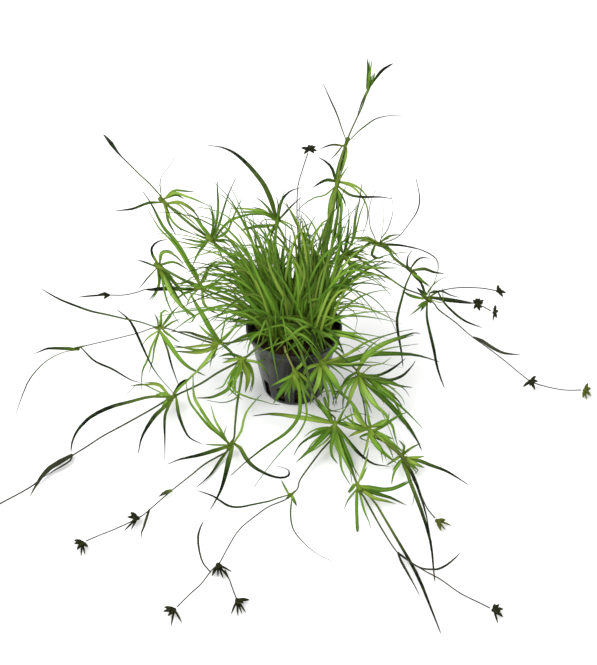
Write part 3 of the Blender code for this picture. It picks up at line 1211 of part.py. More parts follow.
def spread(turns):
    """Turns pushed apart until neighbours are some way from each other."""
    turns = list(turns)
    order = sorted(range(len(turns)), key=lambda i: turns[i])
    least = min(LEAF_SPREAD, 2 * math.pi / len(turns))
    for _ in range(40):
        for a, b in zip(order, order[1:] + order[:1]):
            gap = (turns[b] - turns[a]) % (2 * math.pi) if len(order) > 1 else 9.0
            if a == order[-1] and gap > math.pi:
                continue
            if gap < least:
                turns[a] -= (least - gap) / 2
                turns[b] += (least - gap) / 2
    return turns


make_pot()
make_soil()
build_plant()
for crowded in TIGHT:
    print("closer than the gap:", crowded)
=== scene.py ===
"""Creeping rush in a small net pot: the shapes and finishes that are seen.

Each stem and leaf is given by the points at which the photograph shows it and by its height above the ground.
The plant finds room for its leaves in the same order and by the same steps as the solids do, so that each
blade lies where its solid is. Lengths are in millimetres until a mesh is made.
"""

import logging
import math
import random
from collections.abc import Callable, Iterable, Sequence
from dataclasses import dataclass, field, replace
from enum import Enum
from typing import ClassVar

import bmesh
import bpy
import numpy as np
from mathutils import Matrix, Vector, noise


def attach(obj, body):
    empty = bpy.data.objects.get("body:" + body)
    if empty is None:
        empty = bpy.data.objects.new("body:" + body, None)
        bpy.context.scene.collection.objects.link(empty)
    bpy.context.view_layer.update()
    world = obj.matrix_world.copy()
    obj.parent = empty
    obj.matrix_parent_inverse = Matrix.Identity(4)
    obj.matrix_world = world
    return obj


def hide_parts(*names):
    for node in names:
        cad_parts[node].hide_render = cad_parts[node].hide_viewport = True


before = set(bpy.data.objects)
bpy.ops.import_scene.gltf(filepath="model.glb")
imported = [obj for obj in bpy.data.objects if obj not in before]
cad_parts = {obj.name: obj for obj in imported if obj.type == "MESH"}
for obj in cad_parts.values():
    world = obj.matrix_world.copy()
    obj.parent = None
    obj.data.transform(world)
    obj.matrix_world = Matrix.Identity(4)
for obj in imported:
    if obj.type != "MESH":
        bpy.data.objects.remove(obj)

LOG = logging.getLogger("potted_rush")
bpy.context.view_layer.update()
MM = 0.001
GAP = 0.3
LOWEST = 0.45
ROOT_BODY = "root"

# The joints of the stems: the pixel that shows each and its height
JOINTS = """\
A 164,202,82
B 211,240,64
D 277,222,84
E 201,288,50
F 160,267,58
G 219,343,38
H 161,328,36
W 80,347,10
G2 243,359,30
I 173,397,9
J 231,444,7
L 335,425,12
K 292,494,6
M 358,486,7
P 359,374,30
P2 370,430,13
N 403,457,7
T 345,254,68
Q 426,298,50
S 378,244,76
R 411,271,60
V 337,184,106
V2 346,144,124
U 368,90,150
Y 295,372,36
Y2 322,363,40.5
"""

# Where each stem leaves the soil
ROOTS = """\
back_left -9,9
back -3,13
left_upper -15,5
left -18.5,-4
front_left -14,-13
front 3,-17.5
front_right 14,-12.5
back_right 14,7
top 8,13.5
top_flower 2,16
shoot_front -5,-19.5
shoot_right 9.5,-18
"""

# Stems: route, first and last radius, and what it branches from. A point is a pixel with a height
STEMS = """\
stem_back_left : back_left 258,292,58 238,264,64 B 190,224,74 A : 0.85 0.85
stem_back : back 277,280,62 274,250,76 D : 0.85 0.85
stem_left_upper : left_upper 254,312,52 240,303,54 221,296,53 E 180,278,57 F : 0.85 0.85
stem_left : left 259,334,51 247,339,49 G 190,336,40 H 138,333,27 112,339.5,17 W : 0.85 0.5
stem_front_left : front_left 258,347,50 G2 219,372,20 200,384,13 I 152,409,5 127,423,2.6 103,436,2
  86,447,2 73,455,2 55,466,1.8 36,483,1.8 20,493,1.8 3,502,1.8 -12,511,2 : 0.85 0.5 stout
stem_front_middle : 242,372,20 240,386,15 237,405,10 235,425,8 J 219,456,4 205,464,2.6 190,476,2
  171,491,2 156,504,2.2 140,517,3.2 115,529,2.2 100,535,2.2 86,541,2.6 : 0.85 0.5 G2
stem_front : front 301,352,50 306,368,45 311,388,31 321,408,19 L 321,451,5 309,467,3 300,480,3.4 K
  270,506,3 258,514,2 239,530,2 226,551,2.2 220,562,3 211,571,2.6 201,584,2 190,594,2 177,607,2.4 : 0.85
  0.5
stem_front_right : 337,433,8 343,447,4 351,467,4 M 364,497,4 370,508,2.2 383,531,2 397,552,2.4
  409,561,2.2 425,571,2 440,579,2 460,593,2 480,603,2 490,608,2.6 : 0.85 0.5 L
stem_right : front_right 335,351,51 P 361,388,26 365,410,18 P2 386,442,8 N 413,479,4 420,493,2.4
  427,508,2.2 435,518,2.6 : 0.85 0.5
stem_back_right : back_right 329,290,62 337,271,68 T 362,261,66 382,273,60 404,288,54 Q 439,310,43
  455,322,36 470,335,30 488,348,22 505,361,14 522,375,8 532,382,6 548,387,4 565,390,2.6 581,390,2.6 : 0.85
  0.5
stem_right_upper : 353,256,68 361,250,71 S 393,257,70 R : 0.85 0.85 T
stem_top : top 319,280,64 322,250,78 326,228,88 332,207,97 V 340,164,115 V2 354,124,132 362,107,141 U :
  0.85 0.85 slim pale
stem_top_flower : top_flower 299,280,62 298,240,80 297,210,97 298,186,110 303,168,119 308,153,126 : 0.5 0.5
stem_side_flowers : 433,298,51 452,300,50 465,302,50 475,303.5,50 484,307,49 491,311,48 : 0.5 0.5 Q
"""

# Leaves that are one piece with a stem: points, then tip height, arch, width and shade
BRACTS = """\
stem_front_left : 73,455 60,462 50,468 43,475 38,482 34,489 29,498 : 1.2 2.5 2.6 black
stem_front_left : 73,455 70,461 60,467.5 50,473 41,479 : 1 1 1.2 black
stem_front_middle : 171,491 167,492 163,494 158,497 : 2.6 1 2.4 dark
stem_front_middle : 149,511 146,520 144,527 141.5,533 141,541 : 0.9 0.5 1.4 black
stem_front : 209,573 203,563 199.5,552 198,540 199.5,530 204,520 : 3 4 2 black thin w60
stem_front_right : 397,552 404,557 413,564 422,568.5 430,569.5 437,569.5 445,566 453,560 461,552 : 3 8 2
  black thin w60
stem_front_right : 397,552 400,559 403,565 407,572 413,583 417,590 420,597 : 1 0.5 1.2 black
stem_back_right : 472,336 482,341 490,346.5 497,350.5 505,353.5 522,355 : 20 3 2 black
"""

# Flower heads: middle, tips of the spikelets, and the stem
HEADS = """\
flower_left_far : -15,513,2.4 : -26,512 -24,518 -19,523 -12,522 -25,507 : stem_front_left
flower_front_left_near : 138,519,3 : 131,512 127,517 131,523 124,531 131,530 : stem_front_middle along
flower_front_left_far : 83,543,2.6 : 74,540 74,543.5 77,550 81,557 85,555 88,547 : stem_front_middle
flower_front_middle : 220,565,3 : 212,576 218,577 223.5,579 232,572 230,580 : stem_front along
flower_front_low_left : 174.5,610,2.4 : 164,607 163,611.5 168,616 171,627 182,623 : stem_front
flower_front_right_far : 493,610,2.6 : 495,604 503.5,609 503,617 498,624 : stem_front_right
flower_right_low : 438,521,2.6 : 446,520 452,526 441,531 445.5,530 : stem_right olive
flower_right_near : 531,381.5,6 : 536,376 538,381.5 535,390 530,386 523,387 : stem_back_right along
flower_right_far : 584,391,2.6 : 588,383 591,388 591,396 586.5,400 583,398 : stem_back_right olive
flower_top : 309,149.5,127 : 301,148 304,154 316,146.5 317,151 309,145 : stem_top_flower
flower_side_near : 478,304.5,50 : 473,300 478,298.5 484,300 474,309 480,311 482,308 : stem_side_flowers
  along
flower_side_far : 493,312,48 : 495.5,305 498.5,311 496.5,318 493,321 : stem_side_flowers
"""

# Flower heads with their own stalk
STALKED = """\
bud_left : 193,289,50 170,289.5,48 148,289,46 138,292,45 124,295,44 108,295,43 : 0.5 0.5 E :
  113,296,43.5 : 98,294.5 76,297.5 104,299
flower_side_back : 431,293,53 455,288,55 480,288,54 498,291,52 : 0.5 0.5 Q : 499,291.5,52 : 498,285
  501.5,289 506,293 503,297
flower_front_low_right : 225,570,2.2 229.5,580,1.8 233,590,1.8 237,600,2.2 : 0.5 0.5 flower_front_middle
  : 238.5,604,2.4 : 250,600 246,613 242,614 238,617 231,615
"""

# Whorls: stem, joint and leaves, each with its points, tip height, arch, width and shade
WHORLS = {
    "leaves_back_left_tip": ("stem_back_left", "A", """
161,195 150,184 140,175 129,164 119,154 110,142 103,134 : 104 8 2.2 dark club
161,196 160,180 169,166 180,150 : 120 5 1 dark
167,197 175,193 185,196 196,200 211,207 : 78 8 1.5
158,202 149,203 140,206 132,209 114,211 : 74 6 1.5 dark
169,201 178,202 188,207 196,214 203,226 : 74 7 1.5 dusky
165,208 168,220 173,230 177,237 : 62 0 1.6 dusky
167,204 171,206 190,220 205,234 : 60 4 1.4 fine
168,214 178,227 200,237 : 58 3 1.4 fine
"""),
    "leaves_back_left": ("stem_back_left", "B", """
212,234 214,224 213,212 208,202 : 92 2 2
214,234 217,222 218.5,205 217.5,190 217,178 : 108 2 2 dusky
216,234 220,222 225,205 229,193 233,184 237,176 : 110 4 1.6 dusky
217,236 222,229 230,221 238,217.5 250,214.5 270,215 : 78 10 1.8
217,238 227,232 232,220 237,208 241,199 244,194 : 98 3 1.6
206,241 200,242 190,240 180,238 : 58 3 1.3 dusky
207,244 200,251 196,258 192,268 : 50 2 1.8
209,235 203,228 196,219 186,212 : 76 2 2
214,243 220,252 224,264 : 56 3 1.8 fine
208,238 200,236 192,231 : 66 2 1.6 fine
216,238 226,240 236,246 : 62 3 1.6 fine
214,236 217,222 219,208 : 90 0 3.6 fine
216,236 221,222 224,207 227,202 : 92 0 2.8 fine
213,234 213,220 212,208 209,200 : 92 1 2.2 fine
209,240 198,245 186,243 172,240 : 58 3 1.2 dusky fine
"""),
    "leaves_back": ("stem_back", "D", """
275,214 271,200 264,185 255,173 245,162 234,153 222,147.5 206,145 : 112 22 2.4 dark
273,217 263,212 250,209.5 237,208.5 227,209 : 80 7 1.5
275,216 268,208 261,201 255,196.5 : 98 3 1.5 dusky
273,227 265,226 257,226 248,228 240,230 : 70 4 1.6
271,221 264,220 258,230 257,241 : 60 6 1.4
279,214 281,203 286,195 293,190 304,187 : 104 6 1.8 dark
281,217 289,209 297,201 303,196 : 102 2 1.6 dark
277,215 278,204 275,194 : 104 2 1.4 dusky fine
280,222 288,226 296,234 : 80 3 1.6 fine
274,226 268,236 266,248 : 66 3 1.6 fine
279,226 284,238 285,250 : 66 3 1.8 fine
"""),
    "leaves_left_upper": ("stem_left_upper", "E", """
198,284 190,266 184,254 175,240 163,226 152,205 142,190 : 88 6 2.4 dusky
207,288 216,288 225,289 233,293 239,299 : 46 3 1.6
203,283 206,277 209,268 : 62 1 1.8
197,284 188,282 180,284 170,283 : 50 3 2
201,294 204,304 212,311 219,314 : 34 3 1.6 dusky
196,290 186,293 178,298 172,306 : 36 2 1.8
198,290 190,298 186,308 : 38 3 1.6 fine
206,292 214,298 220,304 : 42 2 1.6 fine
199,283 196,272 190,262 : 62 3 1.8 fine
198,289 185,289 165,288.5 146,290 : 47 1 2.6 dark fine w70
207,287 216,283 224,284 : 52 2 1.6 fine
203,281 207,270 214,262 222,260 : 64 2 1.4 dusky fine
"""),
    "leaves_left_upper_tip": ("stem_left_upper", "F", """
157,261 152,254 152,247 158,241.5 169,239 : 78 4 1.6 dark
155,266 150,263 143,261.5 136,260 : 60 2 1.2 dark
164,264 170,262 177,263 190,271 : 58 5 1.6 dusky
161,259 162,253 169,252 177,257 185,266 : 60 8 1.6 dusky
162,272 170,290 178,302 188,312 195,317 192,322 182,323 : 26 2 2.6
157,271 148,278 143,284 137,291 : 40 1 1.4 dark
160,273 160,283 156,294 150,302 : 34 1 1.6
161,272 167,285 175,298 185,310 : 32 3 3 fine
164,270 173,281 182,292 190,303 : 34 2 2.4 fine
159,268 166,276 172,288 180,302 190,318 : 28 3 2.6 fine
157,262 153,255 151,248 154,243 : 74 2 1.6 dusky fine
"""),
    "leaves_left": ("stem_left", "H", """
158,323 157,319 154,313 : 48 1 1.6 dusky
156,325 140,322 125,319 106,314.5 90,311 68,303 55,297 40,288 : 48 9 1.7 deep w60
165,322 172,313 181,304 : 54 2 1.6
161,320 161,313 165,310 171,314 : 46 4 1.6
163,334 170,345 180,359 190,368 206,376 : 12 3 2.4
159,334 152,347 149.5,356 146,364 142.5,372 141,393 : 2 3 1.8 dusky
164,336 168,350 171,363 176,378 180,388 : 8 2 1.5 dark
167,326 173,322 181,319 : 40 2 1.6
157,332 148,338 141,347 : 20 3 1.6 dusky fine
165,332 173,338 181,343 : 28 2 1.6 fine
"""),
    "leaves_left_near": ("stem_left", "G", """
217,338 210,327 203,315 196,304 189,291 : 60 4 3
213,341 205,338 197,335.5 188,332.5 170,331.5 : 28 8 1.8 dark
212,345 200,346 185,347.5 172,347 : 30 3 1.5 dusky
213,349 205,351 195,352.5 173,351 : 22 2 1.8 dusky
222,337 223.5,328 226,318 228,311 : 58 1 1.2
225,338 232,331 237,323 241,311 : 58 1 2.2
216,350 208,359 200,368 191,378 : 14 4 2
217,348 212,358 210,368 : 20 3 1.8 fine
224,346 231,352 236,360 : 26 3 1.8 fine
216,340 207,333 198,324 : 44 3 1.8 fine
"""),
    "leaves_left_tip": ("stem_left", "W", """
76,348 70,349 60,348.5 48,348.5 40,351.5 32,354.5 : 5 3 1.9 deep
76,350 63,352.5 48,360 36,371 27,384 20,402 15,417 : 1 5 1.4 deep thin w60
82,351 92,359 100,364 110,368 119,373 130,379.5 141,383 : 2 3 2.2 black thin w50
"""),
    "leaves_front_left": ("stem_front_left", "G2", """
238,355 232,354.5 225,355 218,357 : 26 2 2
238,360 230,361 222,363 : 22 2 2
238,363 234,373 230.5,382 228,389 220,394 210,397.5 195,398 : 5 3 2 dusky
246,366 248,375 247,385 245,393 : 10 1 3.2
249,365 252.5,374 253,383 251,393 : 10 1 1.8
250,361 258,363 266,371 270,381 : 16 4 1.5 dusky
240,367 236,377 235,387 236,396 : 8 1 2
258,362 268,357 275,355 : 34 2 1.4 fine
240,372 232,386 238,393 250,398 262,401 272,404 281,405 : 5 3 1.4 fine
244,368 240,385 238,396 230,401 220,402.5 206,400 : 4 3 1.0 dusky fine
"""),
    "leaves_left_low": ("stem_front_left", "I", """
171,391 163,381 156,372 150,362 143,347 131,322 116,308.5 : 46 8 2.8 dark thin w70
168,395 150,397 130,402 110,407.5 91,417 78,430 72,443 71,454 : 4.5 12 2.8 dark w55
168,402 157,414 150,423 145,431 141,440 138,455 : 1 4 2.4 dark
170,404 165,417 165,440 165,464 : 1 3 1.6 dark
177,402 179,415 184,429 190,438 203,444.5 : 1 5 1.8 dark
168,391 160,386 150,384.5 140,385 129,386 : 4 5 1.6 dusky
174,390 181,383 190,378 : 16 3 1.8 dark
175,392 180,387.5 187,381 193,375 200,369 210,361 219,352 : 26 3 1.4 fine
168,397 142,384 133,388 124,397 : 2 4 1.0 dusky fine
172,394 166,402 160,412 : 5 1 3.4 fine
170,392 162,394 152,397 : 7 1 3 fine
"""),
    "leaves_front_middle": ("stem_front_middle", "J", """
226,447 215,451 205,454 195,456.5 180,459.5 166,465 : 1 5 2.6 dark
228,450 220,461 212,473 203,482 194,489 : 1 4 1.5 dark
232,450 229,460 226,473 222,487 217,498 209,512 : 1 6 2.6 dark
236,444 241,449 247,460 255,468 268,475 280,478 288,476 288,470 276,465.5 : 1.5 7 2 dark
227,440 218,432 210,424 201,410 194,396 193,374 : 22 8 2
226,441 224,434 227,425 : 18 2 1.2 dusky
225,444 213,445 203,444 : 4 3 1.2 dusky
236,438 241,431 243,422 246,413 250,407 256,400 262,394 : 13 4 1.5 fine
"""),
    "leaves_front_low": ("stem_front", "K", """
287,494 278,498 268,501.5 255,504 240,507 228,505.5 213,496 196,490 : 1 6 2 deep thin w60
292,500 290.5,515 294,531 308,547 320,555.5 334,562 : 1 5 1.6 deep thin
295,497 297,506 : 3 0 1.6 dusky
288,491 284,486 281,479 : 10 1 1.4 dusky
"""),
    "leaves_front": ("stem_front", "L", """
330,429 320,433 308,438.5 299,446 293,457 : 1.5 5 1.6 dusky
329,431 318,443 308,452 295,463.5 : 1.5 5 3
333,433 336,445 340,455 342,470 351,486 : 1.5 3 1.8
339,432 345,448 351,463 360,478 : 3 3 2
341,430 348,441 355,449 363,457 374,464 390,466.5 : 1.5 5 1.9 dark
330,421 310,419 296,417 283,415 270,414 252,416 : 6 6 2.4 dusky
339,419 343,412 348,405 : 24 2 1.6
341,423 350,424.5 361,426 : 12 3 1.8
332,418 325,409 318,399 : 24 3 1.8
334,433 331,447 332,456 338,464 : 1.5 2 2.6
331,434 327,440 315,449 303,456 : 2 3 1.4 fine
331,420 318,400 322,408 330,411 340,409 350,405 : 20 3 1.4 fine
338,432 344,452 350,470 352,484 : 2 3 1.6 fine
331,428 322,428 312,431 303,438 : 4 3 1.4 fine
340,421 352,415 362,414 374,418 : 14 4 1.5 fine
337,431 345,445 352,460 357,478 : 2 3 2.2 fine
335,432 341,450 349,468 358,484 : 2 4 2.4 fine
340,424 352,428 364,430 376,429 : 8 3 2 fine
"""),
    "leaves_front_right": ("stem_front_right", "M", """
357,492 356.5,505 357,520 357.5,532 : 1 2 2.8 blunt thin
354,487 347,492.5 : 3 1 1.4 dusky
363,486 372,488.5 382,490 392,489 403,485 414,479 : 12 4 2.6
363,490 376,493.5 390,497.5 407,505.5 : 1.2 5 2 dusky
362,491 374,498 386,501 396,504 : 1 2 2
366,491 377,502 392,522 406,541 418,558 428,578 437,600 449,631 : 1 2.5 2 dark w60
359,480 365,465 369,447 : 14 3 1.2 dusky
362,488 366,489 380,491 392,488 409,480 : 10 3 1.8 fine
360,492 364,510 369,522 371,530 : 1.2 2 1.6 fine
356,490 348,500 343,512 : 1.2 3 1.4 dusky fine
"""),
    "leaves_right_low": ("stem_right", "N", """
405,464 410,482 417,500 425,522 431,545 433,565 435,583 : 1 5 2.8 dark w25
408,457 417,457.5 425,456 : 5 2 1.8
405,452 411,448 421,443 : 14 3 1.6 dusky
408,459 420,461 430,465 445,470.5 458,478 470,486 : 1 6 1.8 dark
402,451 404,446 399,440 : 18 2 1.5
408,461 416,464 425,468 : 2 2 2.4
398,459 393,461 386,465 : 3 1 1.3 dusky
403,463 406,471 410,480 : 2 1 1.8
406,461 412,462 418,470 416,474 : 2 1 2.0 fine
408,470 414,497 411,507 : 1.4 2 1.0 dusky fine
399,462 394,472 391,485 : 1.5 3 1.5 fine
"""),
    "leaves_right": ("stem_right", "P", """
359,368 366,356 376,348 388,342 401,337.5 414,333 421,334 : 36 10 2.6 dusky
364,372 376,376 385,373 395,367 406,358 : 34 5 1.7 dark
365,374 377,378 390,378.5 402,374 411,365 415,359 : 32 6 1.8 dark
364,377 380,381 390,383 400,386 413,387.5 : 16 5 1.9 dusky
364,378 374,382 388,392 399,402 404,411 : 10 6 2.4 dusky
362,380 368,386 380,396 392,407 404,421 416,438 422,451 : 2 7 3 dusky
361,381 365,391 373,403 386,415 387,422 377,427 : 10 5 2.4
355,379 352,391 349,401 344,411 : 12 4 2.6
353,375 346,380 341,388 : 22 2 2
362,376 368,377 385,384 395,391 402,398 405,406 : 14 4 1.6 fine
363,375 372,383 380,394 384,405 : 14 4 1.8 fine
357,377 346,384 338,395 334,408 : 14 4 1.8 fine
363,371 372,366 382,364 392,357 : 34 4 1.6 fine
360,380 362,392 368,404 372,414 : 14 4 1.8 fine
364,376 378,387 392,398 400,412 408,430 : 6 6 2.2 fine
"""),
    "leaves_right_middle": ("stem_right", "P2", """
365,427 357,427 349,424 341,419 : 16 3 2
373,426 382,424 388,418 389,412 : 22 3 1.7
375,428 382,427 392,420 402,414 409,412 : 20 5 1.8
375,433 385,436 394,439 : 9 2 1.8
365,426 357,417 352,406 : 22 3 2.4
364,431 356,433 348,437 : 7 3 2
371,437 376,445 386,455 398,464 : 2 3 2.6
366,429 362,429 355,427 352,418 350,407 : 24 3 1.4 fine
371,426 372,424 368,415 366,403 361,396 : 26 3 1.8 fine
376,427 385,421 392,425 395,436 398,447 : 4 5 2.0 fine
365,434 360,437 366,441 373,443 : 6 1 1.2 fine
374,432 384,441 391,452 394,462 : 3 4 2.0 fine
368,436 366,448 362,460 : 4 3 1.8 fine
372,436 380,450 383,464 : 3 3 1.8 fine
372,432 380,438 392,447 403,458 415,480 425,510 431,540 : 3 4 2.4 dark fine
374,430 385,438 397,447 408,456 : 5 3 2.4 fine
362,424 356,410 349,400 340,393 328,391 315,395 : 18 5 2.2 fine
"""),
    "leaves_far_right": ("stem_back_right", "Q", """
429,292 435,280 438,268 436,259 426,252 412,247 400,245 390,245 : 84 10 2 deep thin
425,304 427,318 431,337 434,350 437,366 441,379 445,389 : 6 8 2.8 deep thin w45
430,293 437,291 443,301 452,311 465,321 483,328 : 34 7 2.2 deep thin w60
431,295 440,291 450,295 461,298 : 52 2 1.2 dark
423,293 421,283 414,276 : 62 1 1.6 dark
421,300 411,296 401,290 : 48 2 1.8 dusky
428,294 430,288 438,279 447,274 : 70 3 1.4 dusky fine
430,299 442,303 443,295 442.5,286 : 60 3 1.2 dusky fine
424,301 418,309 409,316 : 40 3 1.4 fine
429,297 444,299.5 460,301.5 475,303.5 : 49 0 2.8 deep fine w40
428,300 424,306 420,312 : 44 1 2.6 dusky fine
426,294 422,290 416,287 : 52 1 2.6 dark fine
"""),
    "leaves_right_upper_tip": ("stem_right_upper", "R", """
408,276 406,285 402,300 398,318 399,333 402,350 404,368 : 8 6 2.6 deep thin w50
416,269 425,269 433,272 446,274 : 58 3 1.7 dark
414,276 422,281 431,288 : 54 2 1.6 dusky
413,266 417,260 423,257.5 432,259 : 72 3 1.3 dark
407,266 408,256 414,248 : 80 2 1.5 dark
"""),
    "leaves_right_upper": ("stem_right_upper", "S", """
381,239 387,231 392,217 393,205 390,190 : 118 5 1.7 dark
373,241 365,239.5 357,240 344,238 : 78 4 1.7
381,241 390,236 402,234.5 : 84 2 1.4 dusky
384,245 394,245 404,246 421,250 : 72 4 1.5 dark
375,239 370,227 369,210 373,195 380,186 : 120 4 1.5 dark
383,243 397,237 408,223 416,210 418,196 414,176 : 122 6 1.4 dark
375,249 372,255 378,258 384,257 : 68 1 1.6 dark
376,242 374,238 365,235 : 82 2 1.4 fine
380,240 383,226 384,212 381,200 : 112 3 1.4 fine
382,246 392,251 400,259 : 66 3 1.5 fine
"""),
    "leaves_back_right": ("stem_back_right", "T", """
348,249 353,238 356,215 359.5,200 361,190 362,181 : 114 3 1.6 dusky
350,252 357,248 368,246 : 76 3 1.8
348,261 351,268 346,277 341,285 : 50 4 2.2
343,261 338,270 330,283 322,294 : 50 3 1.8
350,262 363,267 378,268 399,268 : 58 4 1.6
349,263 362,271 375,274 387,283 : 50 3 1.6 dusky
341,249 338,238 340,222 341,206 338,192 : 100 2 1.8
349,255 352,254 360,252 368,255 381,256 : 66 3 1.8 fine
348,260 350,262 360,260.5 368,263 372,266 : 64 2 1.8 straw fine
343,250 334,238 330,224 331,210 : 98 3 1.8 fine
346,249 347,236 349,220 348,206 : 104 2 1.8 fine
344,262 336,276 334,292 : 54 3 1.8 fine
342,257 330,262 318,272 : 62 3 1.6 fine
350,258 362,258 372,262 : 62 3 1.6 fine
"""),
    "leaves_top": ("stem_top", "V", """
333,181 327,180 320,183 311,189 : 104 5 1.8 dark
341,182 351,186 360,194 367,207 367,221 361,238 : 80 10 2 dusky thin
335,178 332,169 326,162 316,156 : 122 3 1.8 dark
342,186 350,195 362,197 380,197 393,199 : 100 7 1.5 dark
331,187 325,195 314,198 303,205 295,214 : 88 7 1.6 dusky thin
337,188 338,190 341,200 342,210 340,232 : 84 3 1.6 fine
335,188 331,200 329,214 330,228 : 84 3 1.6 fine
336,188 334,205 331,225 327,245 323,262 : 70 1 2.0 fine w70
338,188 338,210 335,230 332,250 : 72 1 2.0 dusky fine w70
335,190 332,212 328,232 322,255 : 70 1 1.8 fine w70
339,182 344,172 350,164 : 120 2 1.4 fine
"""),
    "leaves_top_middle": ("stem_top", "V2", """
350,140 358,132 365,126.5 375,119.5 388,116 405,115.5 : 138 6 2.1 deep thin w35
344,137 341,126 337,114 331,101 322,81 : 162 3 1.5 deep thin w55
340,143 333,145 325,147 318,150 : 122 3 1.6 dark
341,148 336,154 329,161 : 114 2 1.6 dark thin
344,149 341,158 338,170 335,183 : 106 0 2.0 fine w70
347,147 345,157 341,169 337,180 : 108 0 1.8 dusky fine w70
346,148 342,160 340,170 337,184 : 105 0 1.6 dark fine w70
"""),
    "leaves_top_tip": ("stem_top", "U", """
367.5,83 368,70 367,57 : 172 1 2.4 dusky
371,85 377,77 384,69 394,63 : 168 2 2.4 dark w55
369,83 371,78 374,73 : 162 1 1.6
368,88 369,80 370,74 : 160 1 1.8 fine
370,88 373,80 375,72 : 160 1 2.2 fine
366,92 362,103 357,116 : 137 0 1.9 dark fine
"""),
}

# Short shoots over the pot's lip
SHOOTS = {
    "shoot_front": ("shoot_front 286,352,50 Y", """
292,376 287,384 281,392 273,404 : 10 3 3.2
295,378 294,386 293,393 : 18 2 2.2
298,377 303,387 308,395 314,403 : 10 4 2
291,374 283,380 269,387 : 24 3 1.6
297,379 300,392 299,415 287,432 265,447 247,461 229,477 : 1 5 1.8 dusky
298,368 304,362 309,353 : 50 2 1.8
291,377 288,388 284,398 : 14 3 2.2 fine
299,375 308,380 316,388 : 20 3 1.8 fine
296,378 298,388 303,398 : 14 3 2.0 fine
293,377 289,392 290,404 : 11 2 2.2 fine
"""),
    "shoot_right": ("shoot_right 313,351,51 Y2", """
328,363 345,361 360,357 375,354 403,354 420,356 440,362 : 24 9 3 dusky
318,368 311,378 306,388 302,398 : 12 5 2.6
321,369 318,382 313,394 310,405 : 9 5 2.4
326,369 333,379 339,389 345,399 : 14 6 3
326,358 333,350 337,343 326,334 305,325 : 56 14 1.8 dusky
322,371 325,383 328,396 329,408 : 10 4 2
316,364 308,368 303,377 300,387 : 20 4 2 dusky
318,358 311,350 306,340 297,331 : 58 5 1.8 dark
327,365 328,366 338,372 345,380 350,390 : 22 4 2.0 fine
331,350 338,345 348,345.3 362,353 : 36 4 1.2 fine
332,352 338,348 344,354 349,358 : 36 3 2.0 fine
324,370 330,382 335,394 337,405 : 14 4 2.0 fine
328,366 342,368 354,374 362,384 : 20 5 2.0 fine
320,370 320,384 322,398 : 14 4 2.0 fine
330,362 344,356 356,350 366,346 : 40 4 2.0 fine
"""),
}

# The tufts that stand in the pot
CROWN = {
    "crown_left": ((-9.5, -3), """
272,316 262,300 250,282 238,264 222,246 : 80 10 2.8
269,320 255,308 243,292 236,276 230,262 : 68 9 2.8
268,322 252,313 238,305 222,306 207,312 : 46 12 1.6
267,326 250,322 236,320 212,316.5 : 46 10 1.8
274,314 264,298 254,282 245,264 235,243 : 92 6 2
276,313 268,296 258,276 250,256 238,232 : 100 4 2
270,336 258,334 250,343 247,355 : 40 10 1.8
"""),
    "crown_back": ((1, 2), """
288,308 276,288 264,268 253,236 : 98 4 2.2
290,306 278,286 268,262 264,234 : 100 4 2.2
291,304 286,284 281,266 283,243 : 92 4 2.2
294,304 290,284 289,262 290,232 : 98 4 2
297,304 303,286 304,268 296,243 : 92 6 1.8
299,304 308,288 312,270 308,250 300,228 : 100 6 2
301,304 313,288 318,268 312,247 300,230 291,213 285,200 : 114 8 2.4
298,302 298,280 292,260 280,258 268,268 : 66 16 1.8
"""),
    "crown_right": ((11.5, -3.5), """
319,314 324,300 335,292 352,290 371,297 387,313 397,333 : 26 22 1.8 dusky thin
322,318 330,308 344,304 361,304 377,309 : 40 14 1.6 dusky thin
324,320 338,308 350,309 357,319 353,337 : 26 16 1.8 dusky thin
312,314 313,300 319,283 330,262 : 76 4 2.4
321,316 331,303 342,290 354,277 : 58 6 2.2
318,324 330,330 338,340 345,356 : 34 14 2 dusky
"""),
}

# How many finer blades stand between those above
FINER = {
    "leaves_back_left_tip": 5, "leaves_back_left": 8, "leaves_back": 9, "leaves_left_upper": 6,
    "leaves_left_upper_tip": 8, "leaves_left": 6, "leaves_left_near": 9, "leaves_left_tip": 0,
    "leaves_front_left": 7, "leaves_left_low": 3, "leaves_front_middle": 4, "leaves_front_low": 1,
    "leaves_front": 11, "leaves_front_right": 5, "leaves_right_low": 7, "leaves_right": 16,
    "leaves_right_middle": 13, "leaves_far_right": 2, "leaves_right_upper_tip": 4,
    "leaves_right_upper": 8, "leaves_back_right": 14, "leaves_top": 8, "leaves_top_middle": 3,
    "leaves_top_tip": 4, "shoot_front": 12, "shoot_right": 22,
}

# The directions, in degrees, in which a tuft's own fine blades bow
CROWN_WAYS = {
    "crown_left": ((100.0, 150.0), (120.0, 165.0), (125.0, 160.0), (195.0, 275.0)),
    "crown_back": ((30.0, 150.0), (95.0, 150.0)),
    "crown_right": ((30.0, 80.0), (35.0, 100.0), (-110.0, -50.0)),
}

Line = list[np.ndarray]
Colour = tuple[float, float, float]
Socket = bpy.types.NodeSocket
Body = bpy.types.Object
Exempt = Sequence[tuple[np.ndarray, float, tuple[str, ...], float | None]]

# The ways in which a leaf is moved to find room: its middle up or down, its tip up or down, and aside
WAYS = (
    (1, 0, 0), (-1, 0, 0), (0, 1, 0), (0, -1, 0), (1, 1, 0), (-1, -1, 0), (1, -1, 0), (-1, 1, 0),
    (0, 0, 0.7), (0, 0, -0.7), (1, 0, 0.7), (1, 0, -0.7), (-1, 0, 0.7), (-1, 0, -0.7),
    (0, 1, 0.7), (0, 1, -0.7), (0, -1, 0.7), (0, -1, -0.7),
)


def unit(vector: np.ndarray) -> np.ndarray:
    """A vector at length 1."""
    return vector / max(np.linalg.norm(vector), 1e-9)


